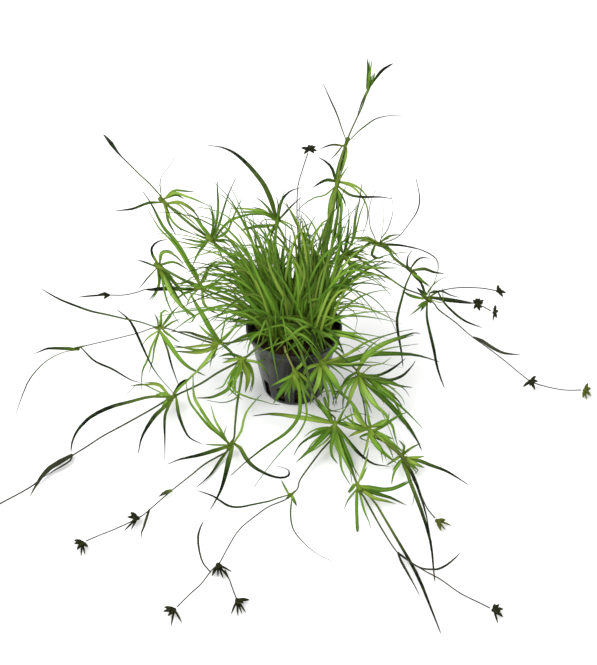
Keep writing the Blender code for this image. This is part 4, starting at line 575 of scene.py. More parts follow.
FACING = unit(np.array([0.0, -0.45, 0.9]))


def smooth_line(points: Sequence, piece: float, straight: Iterable[int] = ()) -> Line:
    """Draw a Catmull-Rom line through points.

    Args:
        points: The places that the line passes.
        piece: About how long each of its pieces is.
        straight: The spans that stay straight.

    Returns:
        The line's points.
    """
    points = [np.asarray(p, float) for p in points]
    ends = [2 * points[0] - points[1]] + points + [2 * points[-1] - points[-2]]
    line = [points[0]]
    for i in range(len(points) - 1):
        p0, p1, p2, p3 = ends[i : i + 4]
        count = 1 if i in straight else max(1, round(np.linalg.norm(p2 - p1) / piece))
        for k in range(1, count + 1):
            t = k / count
            bent = 2 * p1 + (p2 - p0) * t + (2 * p0 - 5 * p1 + 4 * p2 - p3) * t**2
            line.append(0.5 * (bent + (3 * p1 - p0 - 3 * p2 + p3) * t**3))
    return line


def thinned(line: Line, bend: float, kept: Iterable[int] = ()) -> Line:
    """Leave out the points of a line that lie close to the straight line past them.

    Args:
        line: The line's points.
        bend: How far a point may lie off the straight line and still be left out.
        kept: The points that stay in any case.

    Returns:
        The points that are left.
    """
    stay = {0, len(line) - 1, *kept}

    def keep_far(first: int, last: int) -> None:
        """Keep the worst point between two, and look on both of its sides.

        Args:
            first: The first point's place in the line.
            last: The last one's.
        """
        if last - first < 2:
            return
        along = unit(line[last] - line[first])
        off = [np.linalg.norm(np.cross(line[i] - line[first], along)) for i in range(first + 1, last)]
        worst = max(range(len(off)), key=lambda i: off[i])
        if off[worst] > bend:
            stay.add(first + 1 + worst)
            keep_far(first, first + 1 + worst)
            keep_far(first + 1 + worst, last)

    marks = sorted(stay)
    for first, last in zip(marks, marks[1:]):
        keep_far(first, last)
    return [line[i] for i in sorted(stay)]


def sampled(line: Line, width_at: Callable[[float], float]) -> tuple[np.ndarray, np.ndarray]:
    """Points every millimetre or two along a line.

    Args:
        line: The line's points.
        width_at: Gives the half width at a share of the line's length.

    Returns:
        The points, and the half width at each.
    """
    fine = np.array(smooth_line(line, 1e9))
    run = np.concatenate([[0.0], np.cumsum(np.linalg.norm(np.diff(fine, axis=0), axis=1))])
    count = max(3, int(run[-1] / Room.sample) + 1)
    at = np.linspace(0.0, run[-1], count)
    points = np.stack([np.interp(at, run, fine[:, k]) for k in range(3)], axis=1)
    return points, np.array([width_at(a / run[-1]) for a in at])


def closest(line: Line, place: np.ndarray) -> np.ndarray:
    """The point of a line that is nearest to a place."""
    points = sampled(line, lambda share: 0.0)[0]
    return points[np.linalg.norm(points - place, axis=1).argmin()]


def across_from(ahead: np.ndarray, toward: np.ndarray) -> np.ndarray:
    """The direction across a stem that points most toward something."""
    across = toward - ahead * np.dot(toward, ahead)
    return unit(across) if np.linalg.norm(across) > 0.3 else unit(np.cross(ahead, [1.0, 0.3, 0.2]))


def shares(line: np.ndarray) -> np.ndarray:
    """How far along a line each of its points lies, from 0 to 1."""
    run = np.concatenate([[0.0], np.cumsum(np.linalg.norm(np.diff(line, axis=0), axis=1))])
    return run / max(run[-1], 1e-6)


class Tone(Enum):
    """How a whole leaf is coloured: how dark it is at its base, how much darker at its tip, and how dry."""

    FRESH = (0.0, 0.0, 0.0)
    DUSKY = (-0.4, 1.35, 0.0)
    DARK = (0.3, 1.3, 0.0)
    DEEP = (0.6, 0.6, 0.0)
    BLACK = (1.0, 0.2, 0.0)
    STRAW = (0.0, 0.0, 1.0)


@dataclass(frozen=True)
class View:
    """The photograph's view: where it shows the rim's centre, and from how far and how steeply."""

    pitch: float = math.radians(39.5)
    distance: float = 800.0
    focal: float = 1404.0
    rim_x: float = 294.0
    rim_y: float = 325.5
    rim_height: float = 45.4
    wide: int = 597
    tall: int = 665
    film: float = 36.0

    def place(self, x: float, y: float, height: float) -> np.ndarray:
        """Find the place at a height above the ground that shows at a pixel.

        Args:
            x: The pixel's column.
            y: The pixel's row.
            height: The height.

        Returns:
            The place.
        """
        eye = np.array([
            0.0, -self.distance * math.cos(self.pitch), self.rim_height + self.distance * math.sin(self.pitch)
        ])
        ahead = np.array([0.0, math.cos(self.pitch), -math.sin(self.pitch)])
        up = np.array([0.0, math.sin(self.pitch), math.cos(self.pitch)])
        right = np.array([1.0, 0.0, 0.0])
        ray = ahead + right * (x - self.rim_x) / self.focal - up * (y - self.rim_y) / self.focal
        return eye + ray * (height - eye[2]) / ray[2]

    def pixel(self, place: np.ndarray) -> tuple[float, float]:
        """Find the pixel at which a place shows.

        Args:
            place: The place.

        Returns:
            The pixel's column and row.
        """
        level = self.distance * math.cos(self.pitch) + place[1]
        drop = self.distance * math.sin(self.pitch) + self.rim_height - place[2]
        depth = level * math.cos(self.pitch) + drop * math.sin(self.pitch)
        down = drop * math.cos(self.pitch) - level * math.sin(self.pitch)
        return self.rim_x + self.focal * place[0] / depth, self.rim_y + self.focal * down / depth

    def camera(self) -> Body:
        """Make the camera that shows the scene as the photograph does.

        Returns:
            The camera.
        """
        data = bpy.data.cameras.new("camera")
        data.sensor_width = self.film
        data.lens = self.focal * self.film / self.tall
        data.shift_x = (self.wide / 2 - self.rim_x) / self.tall
        data.shift_y = (self.rim_y - self.tall / 2) / self.tall
        made = linked("camera", data)
        back, up = self.distance * math.cos(self.pitch), self.distance * math.sin(self.pitch)
        made.location = (0.0, -back * MM, (self.rim_height + up) * MM)
        made.rotation_euler = (math.pi / 2 - self.pitch, 0.0, 0.0)
        return made


VIEW = View()


@dataclass
class Leaf:
    """A blade: the points it is seen at, base first, its tip's height, its rise between and its width."""

    thickness: ClassVar[float] = 0.55
    plain: ClassVar[float] = 1.22
    tapered: ClassVar[float] = 0.85
    thinner: ClassVar[float] = 0.62

    line: list[tuple[float, float]]
    tip: float
    arch: float
    width: float
    blunt: bool = False
    tone: Tone = Tone.FRESH
    fine: bool = False
    club: bool = False
    thin: bool = False
    widest: float = 0.0

    @classmethod
    def read(cls, text: str) -> "Leaf":
        """Read a leaf from its line of the layout.

        Args:
            text: The line.

        Returns:
            The leaf.
        """
        points, sizes = text.split(" : ")
        tip, arch, width, *words = sizes.split()
        tone = next((t for t in Tone if t.name.lower() in words), Tone.FRESH)
        widest = next((float(word[1:]) / 100 for word in words if word[0] == "w"), 0.0)
        return cls(numbers(points), float(tip), float(arch), float(width), "blunt" in words, tone,
                   "fine" in words, "club" in words, "thin" in words, widest)

    def shape(self, share: float) -> float:
        """Tell how wide the solid blade is.

        Args:
            share: How far along it is, from 0 to 1.

        Returns:
            The width there as a share of the greatest.
        """
        if self.blunt:
            return 0.75 + 0.25 * min(1.0, share * 3)
        return min(1.0, 0.55 + 2.2 * share) * (1.0 - share**2.2)

    def shown(self, share: float) -> float:
        """Tell how wide the blade is as it is shown: a clubbed one is thin up to its end's spindle.

        Args:
            share: How far along it is, from 0 to 1.

        Returns:
            The width there as a share of the greatest.
        """
        if self.club:
            return 0.3 + 0.7 * max(0.0, 1.0 - abs(share - 0.78) / 0.2)
        if self.widest:
            past = max(0.0, share - self.widest) / (1.0 - self.widest)
            return 0.55 + 0.45 * min(1.0, share / self.widest) - 0.75 * past**1.6
        return self.shape(share)

    def full_width(self) -> float:
        """The greatest width at which the blade is shown."""
        usual = 1.0 if self.fine else self.tapered if self.widest else self.plain
        return self.width * (self.thinner if self.thin else usual)


@dataclass
class Stem:
    """A stem: its joints and other points in order, and the radius that it starts and ends with."""

    back: ClassVar[float] = 3.0
    front: ClassVar[float] = 4.0
    last_front: ClassVar[float] = 1.5
    past_sheath: ClassVar[float] = 1.0
    root_rise: ClassVar[float] = 5.0
    root_lean: ClassVar[float] = 1.05
    root_depth: ClassVar[float] = 1.6
    piece: ClassVar[float] = 2.0
    taper: ClassVar[float] = 1.6
    bend: ClassVar[float] = 0.8

    route: list[str]
    start: float
    end: float
    branch_of: str = ""
    slim: bool = False
    pale: bool = False
    stout: bool = False
    bracts: list[Leaf] = field(default_factory=list)
    fine: Line = field(default_factory=list)
    line: Line = field(default_factory=list)
    radii: list[float] = field(default_factory=list)
    joints: dict[str, tuple[np.ndarray, np.ndarray]] = field(default_factory=dict)

    @classmethod
    def read(cls, route: str, sizes: str) -> "Stem":
        """Read a stem from the layout.

        Args:
            route: Its joints and other points.
            sizes: Its radii, what it branches from, and words.

        Returns:
            The stem.
        """
        start, end, *words = sizes.split()
        looks = {look: look in words for look in ("slim", "pale", "stout")}
        return cls(route.split(), float(start), float(end), *(w for w in words if w not in looks), **looks)

    def lay(self, roots: dict, joints: dict, soil_top: float) -> None:
        """Draw the stem's line through its joints.

        Args:
            roots: Where each stem leaves the soil.
            joints: The pixel and the height of each joint.
            soil_top: The height of the soil's surface.
        """
        marks = []
        for item in self.route:
            if item in roots:
                x, y = roots[item]
                marks.append((np.array([x, y, soil_top + GAP]), ""))
                lean = self.root_lean
                marks.append((np.array([x * lean, y * lean, soil_top + self.root_rise]), ""))
            elif item in joints:
                marks.append((VIEW.place(*joints[item]), item))
            else:
                marks.append((VIEW.place(*numbers(item)[0]), ""))
        points, straight = [], []
        for i, (place, joint) in enumerate(marks):
            if not joint:
                points.append(place)
                continue
            ahead = unit(marks[min(i + 1, len(marks) - 1)][0] - marks[i - 1][0])
            last = i == len(marks) - 1
            straight.append(len(points))
            front = self.last_front if last else self.front + self.past_sheath
            points += [place - ahead * (self.back + self.past_sheath), place + ahead * front]
            self.joints[joint] = (place, ahead)
        self.fine = smooth_line(points, self.piece, straight)
        kept = [min(range(len(self.fine)), key=lambda i: np.linalg.norm(self.fine[i] - points[k + e]))
                for k in straight for e in (0, 1)]
        self.line = thinned(self.fine, self.bend, kept)
        self.radii = self.widths(len(self.line))

    def foot(self) -> np.ndarray:
        """A point below the stem's first one, in the soil where it leaves that."""
        return self.fine[0] - np.array([0.0, 0.0, self.root_depth if self.route[0][0].isalpha() else 0.1])

    def widths(self, count: int) -> list[float]:
        """The stem's radius at each of so many points along it."""
        thinner = self.end - self.start
        return [self.start + thinner * min(1.0, self.taper * i / (count - 1)) for i in range(count)]


@dataclass
class Head:
    """A flower head: where it is seen and how high, where its bracts' tips are seen, and its stem."""

    radius: ClassVar[float] = 1.8

    at: tuple[float, float, float]
    tips: list[tuple[float, float]]
    stem: str
    along: bool = False
    olive: bool = False


def numbers(text: str) -> list[tuple[float, ...]]:
    """The groups of numbers in a piece of the layout's text."""
    return [tuple(float(n) for n in group.split(",")) for group in text.split()]


def rows(text: str) -> list[list[str]]:
    """The parts of each line of the layout's text; an indented line goes on from the one before."""
    return [row.split(" : ") for row in text.strip().replace("\n  ", " ").splitlines()]


class Room:
    """What is taken up so far: points with the radius that is solid round each, and whose they are."""

    sample: ClassVar[float] = 1.5
    clear: ClassVar[float] = 0.35
    step: ClassVar[float] = 1.25
    steps: ClassVar[int] = 12
    around: ClassVar[float] = 5.0
    free: ClassVar[float] = 99.0

    def __init__(self) -> None:
        """Start with nothing taken up."""
        self.points = np.zeros((0, 3))
        self.radii = np.zeros(0)
        self.owners = np.zeros(0, dtype=object)

    def add(self, owner: str, points: np.ndarray, radii: np.ndarray) -> None:
        """Take up room along points.

        Args:
            owner: Whose the points are.
            points: The points.
            radii: The radius that is solid round each.
        """
        self.points = np.vstack([self.points, points])
        self.radii = np.concatenate([self.radii, radii])
        self.owners = np.concatenate([self.owners, np.full(len(points), owner, dtype=object)])

    def left(self, points: np.ndarray, radii: np.ndarray, exempt: Exempt = ()) -> float:
        """The least distance between points and what others hold, less both radii.

        Args:
            points: The points of the new piece.
            radii: The radius that is solid round each.
            exempt: Places, reaches, owners and distances: for the points within reach of the place, an
                owner's points count only as far as that distance from its middle, or not at all.

        Returns:
            The distance.
        """
        low, high = points.min(0) - self.around, points.max(0) + self.around
        near = ((self.points > low) & (self.points < high)).all(axis=1)
        if not near.any():
            return self.around
        held, held_radii, owners = self.points[near], self.radii[near], self.owners[near]
        apart = np.linalg.norm(points[:, None] - held[None], axis=2)
        gap = apart - radii[:, None] - held_radii[None]
        for place, reach, names, least in exempt:
            close = np.linalg.norm(points - place, axis=1) < reach
            part = np.ix_(close, np.isin(owners, list(names)))
            gap[part] = apart[part] - least + self.clear if least else self.free
        return float(gap.min())


@dataclass
class Strand:
    """One blade or stalk: its line, its half width and the way it faces along it, and how it is coloured."""

    slim: ClassVar[float] = 0.22
    slimmest: ClassVar[float] = 0.12
    flatness: ClassVar[float] = 0.12
    pointed: ClassVar[float] = 0.08
    blunted: ClassVar[float] = 0.5
    roll: ClassVar[float] = 0.5
    twist: ClassVar[float] = 0.8
    ease: ClassVar[float] = 0.3

    points: np.ndarray
    half: np.ndarray
    facing: np.ndarray
    along: np.ndarray
    dark: np.ndarray
    dry: float = 0.0
    tone: float = 0.5
    round: bool = False

    @classmethod
    def stalk(cls, line: Line, radii: Sequence[float], **colours: object) -> "Strand":
        """A round stalk along a line.

        Args:
            line: The stalk's points.
            radii: Its radius at each.
            **colours: Its along, dark, dry and tone, where they aren't the usual ones.

        Returns:
            The strand.
        """
        points = np.array(line)
        count = len(points)
        along = np.asarray(colours.get("along", shares(points)), float)
        dark = np.broadcast_to(np.asarray(colours.get("dark", 0.0), float), count)
        facing = cls.faces(points, 0.0, 0.0)
        return cls(points, np.asarray(radii, float), facing, along, dark,
                   float(colours.get("dry", 0.0)), float(colours.get("tone", 0.5)), True)

    @classmethod
    def blade(cls, line: Line, leaf: Leaf, chance: random.Random) -> "Strand":
        """A pointed blade along a line.

        Args:
            line: The blade's points, base first.
            leaf: The leaf that it belongs to.
            chance: Gives its roll, its twist and its shade.

        Returns:
            The strand.
        """
        last = len(line) - 1
        points = np.array(thinned(line, cls.flatness, {1, last // 2, max(last - 3, 1), max(last - 1, 1)}))
        share = shares(points)
        width = leaf.full_width()
        half = np.array([0.5 * max(width * leaf.shown(s), width * cls.slimmest + cls.slim) for s in share])
        half[-1] *= cls.blunted if leaf.blunt else cls.pointed
        loose = 1.0 if leaf.fine else 0.5
        roll = chance.uniform(-cls.roll, cls.roll) * loose
        twist = chance.uniform(-cls.twist, cls.twist) * loose
        dark, darker, dry = leaf.tone.value
        shade = np.clip(dark + darker * share, 0.0, 1.0)
        return cls(points, half, cls.faces(points, roll, twist), share, shade, dry, chance.random())

    @staticmethod
    def faces(points: np.ndarray, roll: float, twist: float) -> np.ndarray:
        """The way in which a blade's upper side faces at each of its points.

        Args:
            points: The blade's line.
            roll: How far it is turned about its line at its base.
            twist: How much further it is turned at its tip.

        Returns:
            A direction for each point.
        """
        last = len(points) - 1
        share = shares(points)
        found, before = [], None
        for i in range(last + 1):
            ahead = unit(points[min(i + 1, last)] - points[max(i - 1, 0)])
            side = np.cross(ahead, FACING)
            if before is not None:
                side = side * math.copysign(Strand.ease, np.dot(side, before)) + before
                side -= ahead * np.dot(side, ahead)
            lost = np.linalg.norm(side) <= 0.05
            side = across_from(ahead, np.array([1.0, 0.0, 0.0])) if lost else unit(side)
            before = side
            turn = roll + twist * share[i]
            found.append(np.cross(side, ahead) * math.cos(turn) + side * math.sin(turn))
        return np.array(found)


class Graph:
    """A node tree that is being built. Where a node takes a value, it takes another node's socket as well."""

    def __init__(self, tree: bpy.types.NodeTree) -> None:
        """Hold the tree."""
        self.tree = tree

    @classmethod
    def of_shapes(cls, name: str, inputs: dict[str, str], result: str) -> "Graph":
        """Start a tree that makes shapes.

        Args:
            name: The tree's name.
            inputs: The kinds of its inputs by their names.
            result: Its output's name.

        Returns:
            The tree.
        """
        tree = bpy.data.node_groups.new(name, "GeometryNodeTree")
        for socket, kind in inputs.items():
            tree.interface.new_socket(socket, in_out="INPUT", socket_type=f"NodeSocket{kind}")
        tree.interface.new_socket(result, in_out="OUTPUT", socket_type="NodeSocketGeometry")
        return cls(tree)

    def finish(self, parts: Sequence[Socket], material: Socket, result: str) -> None:
        """End a tree of shapes: join its parts, make their instances real and set their material.

        Args:
            parts: The parts, in their order in the mesh.
            material: What they are finished with.
            result: The output's name.
        """
        joined = self.node("GeometryNodeJoinGeometry")
        for part in parts:
            self.tree.links.new(part, joined.inputs[0])
        real = self.out("GeometryNodeRealizeInstances", Geometry=joined.outputs[0])
        dressed = self.out("GeometryNodeSetMaterial", Geometry=real, Material=material)
        self.node("NodeGroupOutput", **{result: dressed})

    def node(self, kind: str, props: dict | None = None, **inputs: object) -> bpy.types.Node:
        """Add a node.

        Args:
            kind: The node's type.
            props: Its own properties.
            **inputs: Values or sockets for its inputs, with _ for a space in a name and iN for the input N.

        Returns:
            The node.
        """
        made = self.tree.nodes.new(kind)
        for name, value in (props or {}).items():
            setattr(made, name, value)
        for name, value in inputs.items():
            key = int(name[1:]) if name[0] == "i" and name[1:].isdigit() else name.replace("_", " ")
            socket = made.inputs[key]
            if isinstance(value, Socket):
                self.tree.links.new(value, socket)
            else:
                socket.default_value = value
        return made

    def out(self, kind: str, props: dict | None = None, **inputs: object) -> Socket:
        """The first output of a new node."""
        return self.node(kind, props, **inputs).outputs[0]

    def math(self, operation: str, *values: object, clamp: bool = False) -> Socket:
        """The result of a sum on values or sockets."""
        props = {"operation": operation, "use_clamp": clamp}
        return self.out("ShaderNodeMath", props, **{f"i{i}": value for i, value in enumerate(values)})

    def times(self, first: object, second: object, clamp: bool = False) -> Socket:
        """One value times another."""
        return self.math("MULTIPLY", first, second, clamp=clamp)

    def sloped(self, value: object, slope: object, base: object, clamp: bool = False) -> Socket:
        """A value times a slope, plus a base."""
        return self.math("MULTIPLY_ADD", value, slope, base, clamp=clamp)

    def held(self, value: object, slope: object, base: object) -> Socket:
        """A value times a slope, plus a base, kept from 0 to 1."""
        return self.sloped(value, slope, base, clamp=True)

    def value(self, name: str) -> Socket:
        """A named attribute of the piece, for a material."""
        return self.node("ShaderNodeAttribute", {"attribute_name": name}).outputs["Fac"]

    def noise(self, where: Socket, scale: float, detail: float = 3.0) -> Socket:
        """A cloudy pattern from 0 to 1."""
        return self.node("ShaderNodeTexNoise", Vector=where, Scale=scale, Detail=detail).outputs["Fac"]

    def coats(self, under: Colour | Socket, *coats: tuple[Socket, Colour]) -> Socket:
        """Lay colours over a colour, one after the other.

        Args:
            under: The colour below.
            *coats: For each coat how much of it shows, and its colour.

        Returns:
            The colour that they make.
        """
        props = {"data_type": "RGBA", "blend_type": "MIX", "clamp_factor": True}
        shown = under if isinstance(under, Socket) else (*under, 1.0)
        for share, colour in coats:
            shown = self.node("ShaderNodeMix", props, i0=share, i6=shown, i7=(*colour, 1.0)).outputs[2]
        return shown

    def ramp(self, value: Socket, stops: Sequence[tuple[float, Colour]]) -> Socket:
        """Run through colours as a value rises.

        Args:
            value: The value.
            stops: The value at which each colour is reached, and the colour.

        Returns:
            The colour at the value.
        """
        made = self.node("ShaderNodeValToRGB", Fac=value)
        marks = made.color_ramp.elements
        while len(marks) < len(stops):
            marks.new(1.0)
        for mark, (at, colour) in zip(marks, stops):
            mark.position = at
            mark.color = (*colour, 1.0)
        return made.outputs["Color"]


@dataclass(frozen=True)
class Surface:
    """What a finish shows: its colour, where it is rougher and its relief."""

    colour: Socket
    rough: Socket | None = None
    relief: Socket | None = None


@dataclass(frozen=True)
class Finish:
    """A finish: its name, how rough it is and how much it shines."""

    rough_range: ClassVar[float] = 0.2
    relief_depth: ClassVar[float] = 0.0
    relief_strength: ClassVar[float] = 0.6

    name: str
    roughness: float
    gloss: float = 0.5

    def material(self) -> bpy.types.Material:
        """Make the finish's material, or give the one that was made before.

        Returns:
            The material.
        """
        made = bpy.data.materials.get(self.name)
        if made:
            return made
        made = bpy.data.materials.new(self.name)
        made.use_nodes = True
        graph = Graph(made.node_tree)
        inputs = made.node_tree.nodes["Principled BSDF"].inputs
        inputs["Specular IOR Level"].default_value = self.gloss
        inputs["Roughness"].default_value = self.roughness
        surface = self.surface(graph, graph.node("ShaderNodeTexCoord").outputs["Object"])
        made.node_tree.links.new(surface.colour, inputs["Base Color"])
        if surface.rough is not None:
            rough = graph.sloped(surface.rough, self.rough_range, self.roughness - self.rough_range / 2)
            made.node_tree.links.new(rough, inputs["Roughness"])
        if surface.relief is not None:
            bump = graph.out("ShaderNodeBump", Strength=self.relief_strength, Distance=self.relief_depth,
                             Height=surface.relief)
            made.node_tree.links.new(bump, inputs["Normal"])
        return made

    def surface(self, graph: Graph, where: Socket) -> Surface:
        """Draw the finish's colour, roughness and relief at a place."""
        raise NotImplementedError


@dataclass(frozen=True)
class LeafFinish(Finish):
    """A satin blade: yellow-green at its sheath, green along it and darker or browner at its tip."""

    rough_range: ClassVar[float] = 0.24
    relief_depth: ClassVar[float] = 0.00008

    sheath: Colour = (0.20, 0.29, 0.028)
    olive: Colour = (0.235, 0.31, 0.040)
    bright: Colour = (0.270, 0.43, 0.070)
    fresh: Colour = (0.150, 0.30, 0.026)
    deep: Colour = (0.040, 0.115, 0.008)
    midrib_highlight: Colour = (0.30, 0.40, 0.07)
    # Paler midrib colour, partly the midrib's own colour and partly a painted highlight down the blade's
    # middle
    tip: Colour = (0.050, 0.070, 0.012)
    dark: Colour = (0.004, 0.006, 0.003)
    burn: Colour = (0.10, 0.055, 0.020)
    straw: Colour = (0.42, 0.33, 0.13)

    def surface(self, graph: Graph, where: Socket) -> Surface:
        """Colour the blade along its length and across it, with painted shade on one half of its fold and a
        paler midrib with a painted highlight.

        Args:
            graph: The material's nodes.
            where: The place on the piece.

        Returns:
            The blade's surface.
        """
        along, across, cloud = graph.value("along"), graph.value("across"), graph.noise(where, 260.0, 4.0)
        drift = graph.math("ADD", along, graph.times(graph.math("SUBTRACT", cloud, 0.5), 0.25))
        vein = graph.math("SINE", graph.times(across, 24.0))
        # Painted shade: one half of the blade, across its fold, is darkened towards the deep green
        folded = graph.math("POWER", graph.held(across, 0.5, 0.5), 2.0)
        # A paler stripe down the blade's middle: partly the midrib's own colour, partly a painted highlight
        # along it
        middle = graph.math("SUBTRACT", 1.0, graph.times(graph.math("ABSOLUTE", across), 3.0), clamp=True)
        specks = graph.math("GREATER_THAN", graph.math("ADD", along, graph.noise(where, 900.0, 2.0)), 1.52)
        own = graph.ramp(graph.value("tone"), ((0.0, self.olive), (0.22, self.bright), (0.42, self.fresh),
                                               (0.66, self.fresh), (1.0, self.deep)))
        colour = graph.coats(
            own,
            (graph.held(drift, -4.5, 1.1), self.sheath),
            (graph.held(drift, 2.2, -1.2), self.deep),
            (graph.held(drift, 6.0, -5.2), self.tip),
            (graph.times(folded, 0.5), self.deep),
            (graph.times(middle, 0.30), self.midrib_highlight),
            (graph.sloped(vein, 0.10, 0.10), self.deep),
            (graph.times(graph.value("dark"), graph.sloped(cloud, 0.5, 0.72), clamp=True), self.dark),
            (graph.times(specks, 0.6), self.burn),
            (graph.value("dry"), self.straw),
        )
        return Surface(colour, cloud, graph.sloped(vein, 0.5, cloud))


@dataclass(frozen=True)
class StemFinish(Finish):
    """A smooth stem: green near the crown, dark olive brown where it is thin."""

    relief_depth: ClassVar[float] = 0.00006

    green: Colour = (0.055, 0.115, 0.012)
    pale: Colour = (0.22, 0.29, 0.038)
    dark: Colour = (0.016, 0.018, 0.008)

    def surface(self, graph: Graph, where: Socket) -> Surface:
        """Shade the stem by its ridges and by how thin it is.

        Args:
            graph: The material's nodes.
            where: The place on the piece.

        Returns:
            The stem's surface.
        """
        cloud = graph.noise(where, 180.0, 4.0)
        ridge = graph.math("SINE", graph.times(graph.value("across"), 20.0))
        colour = graph.coats(
            self.green,
            (graph.times(cloud, graph.times(graph.value("tone"), 1.6)), self.pale),
            (graph.sloped(ridge, 0.12, 0.12), self.green),
            (graph.times(graph.value("dark"), graph.sloped(cloud, 0.4, 0.75), clamp=True), self.dark),
        )
        return Surface(colour, cloud, graph.sloped(ridge, 0.5, cloud))


@dataclass(frozen=True)
class FlowerFinish(Finish):
    """Dry dark bracts with paler edges and tips."""

    relief_depth: ClassVar[float] = 0.00012

    dark: Colour = (0.005, 0.006, 0.002)
    olive: Colour = (0.022, 0.028, 0.007)
    tip: Colour = (0.055, 0.048, 0.018)
    young: Colour = (0.13, 0.16, 0.02)

    def surface(self, graph: Graph, where: Socket) -> Surface:
        """Shade the spikelets by their scales.

        Args:
            graph: The material's nodes.
            where: The place on the piece.

        Returns:
            The spikelets' surface.
        """
        along, cloud = graph.value("along"), graph.noise(where, 700.0, 4.0)
        scales = graph.math("SINE", graph.sloped(along, 26.0, graph.times(cloud, 5.0)))
        colour = graph.coats(
            self.dark,
            (graph.held(scales, 0.25, 0.3), self.olive),
            (graph.times(graph.math("POWER", along, 4.0), 0.5, clamp=True), self.tip),
            (graph.times(graph.value("tone"), graph.math("SUBTRACT", 1.0, cloud)), self.young),
        )
        return Surface(colour, cloud, graph.sloped(scales, 0.6, cloud))


@dataclass(frozen=True)
class PlasticFinish(Finish):
    """Dark charcoal moulded plastic, slightly glossy, with dust, scuffs and a painted highlight down its
    upper left side.
    """

    rough_range: ClassVar[float] = 0.3
    relief_depth: ClassVar[float] = 0.00005

    charcoal: Colour = (0.0045, 0.0052, 0.004)
    dust: Colour = (0.022, 0.020, 0.015)
    # Painted highlight colour, laid on the wall's upper left side
    painted_highlight: Colour = (0.105, 0.11, 0.098)

    def surface(self, graph: Graph, where: Socket) -> Surface:
        """Lay dust over the plastic, and a painted highlight on its upper left side.

        Args:
            graph: The material's nodes.
            where: The place on the piece.

        Returns:
            The plastic's surface.
        """
        cloud, grain = graph.noise(where, 90.0, 5.0), graph.noise(where, 1400.0, 2.0)
        place = graph.node("ShaderNodeSeparateXYZ", i0=where).outputs
        # Painted highlight: the upper left of the wall is lightened, mottled by the cloud, where it would
        # catch the light
        side = graph.times(graph.held(place["X"], -85.0, -0.85), graph.held(place["Z"], 60.0, -0.5))
        colour = graph.coats(
            self.charcoal,
            (graph.times(graph.math("SUBTRACT", cloud, 0.42, clamp=True), 1.6), self.dust),
            (graph.times(side, graph.times(cloud, 1.3)), self.painted_highlight),
        )
        return Surface(colour, cloud, graph.sloped(grain, 0.5, cloud))


@dataclass(frozen=True)
class SoilFinish(Finish):
    """Damp brown substrate with paler fibres."""

    relief_depth: ClassVar[float] = 0.0006

    wet: Colour = (0.006, 0.0042, 0.002)
    dry: Colour = (0.027, 0.0155, 0.007)
    fibre: Colour = (0.078, 0.047, 0.021)

    def surface(self, graph: Graph, where: Socket) -> Surface:
        """Mottle the substrate and pick out its fibres.

        Args:
            graph: The material's nodes.
            where: The place on the piece.

        Returns:
            The substrate's surface.
        """
        cloud, grain = graph.noise(where, 320.0, 6.0), graph.noise(where, 1500.0, 4.0)
        mottled = graph.ramp(cloud, ((0.3, self.wet), (0.52, self.dry), (0.62, self.fibre), (0.75, self.wet)))
        colour = graph.coats(mottled, (graph.times(grain, 0.6), self.wet),
                             (graph.times(graph.value("fibre"), 0.75), self.fibre))
        return Surface(colour, grain, graph.sloped(grain, 0.5, cloud))


@dataclass(frozen=True)
class FloorFinish(Finish):
    """A plain pale surface."""

    pale: Colour = (0.93, 0.93, 0.93)
    grey: Colour = (0.86, 0.86, 0.87)

    def surface(self, graph: Graph, where: Socket) -> Surface:
        """Cloud the floor very faintly."""
        return Surface(graph.coats(self.pale, (graph.times(graph.noise(where, 6.0, 2.0), 0.02), self.grey)))


LEAF = LeafFinish("leaf_green", 0.44, 0.06)
STEM = StemFinish("stem_green", 0.48, 0.18)
FLOWER = FlowerFinish("flower_bracts", 0.68, 0.06)
PLASTIC = PlasticFinish("pot_charcoal", 0.27, 0.3)
SUBSTRATE = SoilFinish("soil_brown", 0.87, 0.05)
FLOOR = FloorFinish("floor_pale", 0.9)


def linked(name: str, data: bpy.types.ID) -> Body:
    """Make an object and link it to the scene.

    Args:
        name: The object's name.
        data: Its mesh, lamp or camera.

    Returns:
        The object.
    """
    made = bpy.data.objects.new(name, data)
    bpy.context.scene.collection.objects.link(made)
    return made


def plain_mesh(made: Body) -> None:
    """Turn an object's modifiers into its own plain mesh and take them off.

    Args:
        made: The object.
    """
    graph = bpy.context.evaluated_depsgraph_get()
    graph.update()
    mesh = bpy.data.meshes.new_from_object(made.evaluated_get(graph))
    mesh.name = made.name
    made.modifiers.clear()
    made.data = mesh


def run_tree(made: Body, tree: bpy.types.NodeTree, values: dict[str, object]) -> None:
    """Run a tree on an object and keep what it makes as the object's plain mesh.

    Args:
        made: The object.
        tree: The tree.
        values: The tree's inputs by name, which are set by their sockets' identifiers.
    """
    step = made.modifiers.new(tree.name, "NODES")
    step.node_group = tree
    for item in tree.interface.items_tree:
        if item.item_type == "SOCKET" and item.in_out == "INPUT" and item.name in values:
            step[item.identifier] = values[item.name]
    plain_mesh(made)


def mount(made: Body, node: str) -> None:
    """Let a piece ride with the body and stand for its solid.

    Args:
        made: The piece.
        node: The solid's node.
    """
    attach(made, ROOT_BODY)
    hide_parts(node)
    LOG.info("%s: %d faces, for %s", made.name, len(made.data.polygons), node)


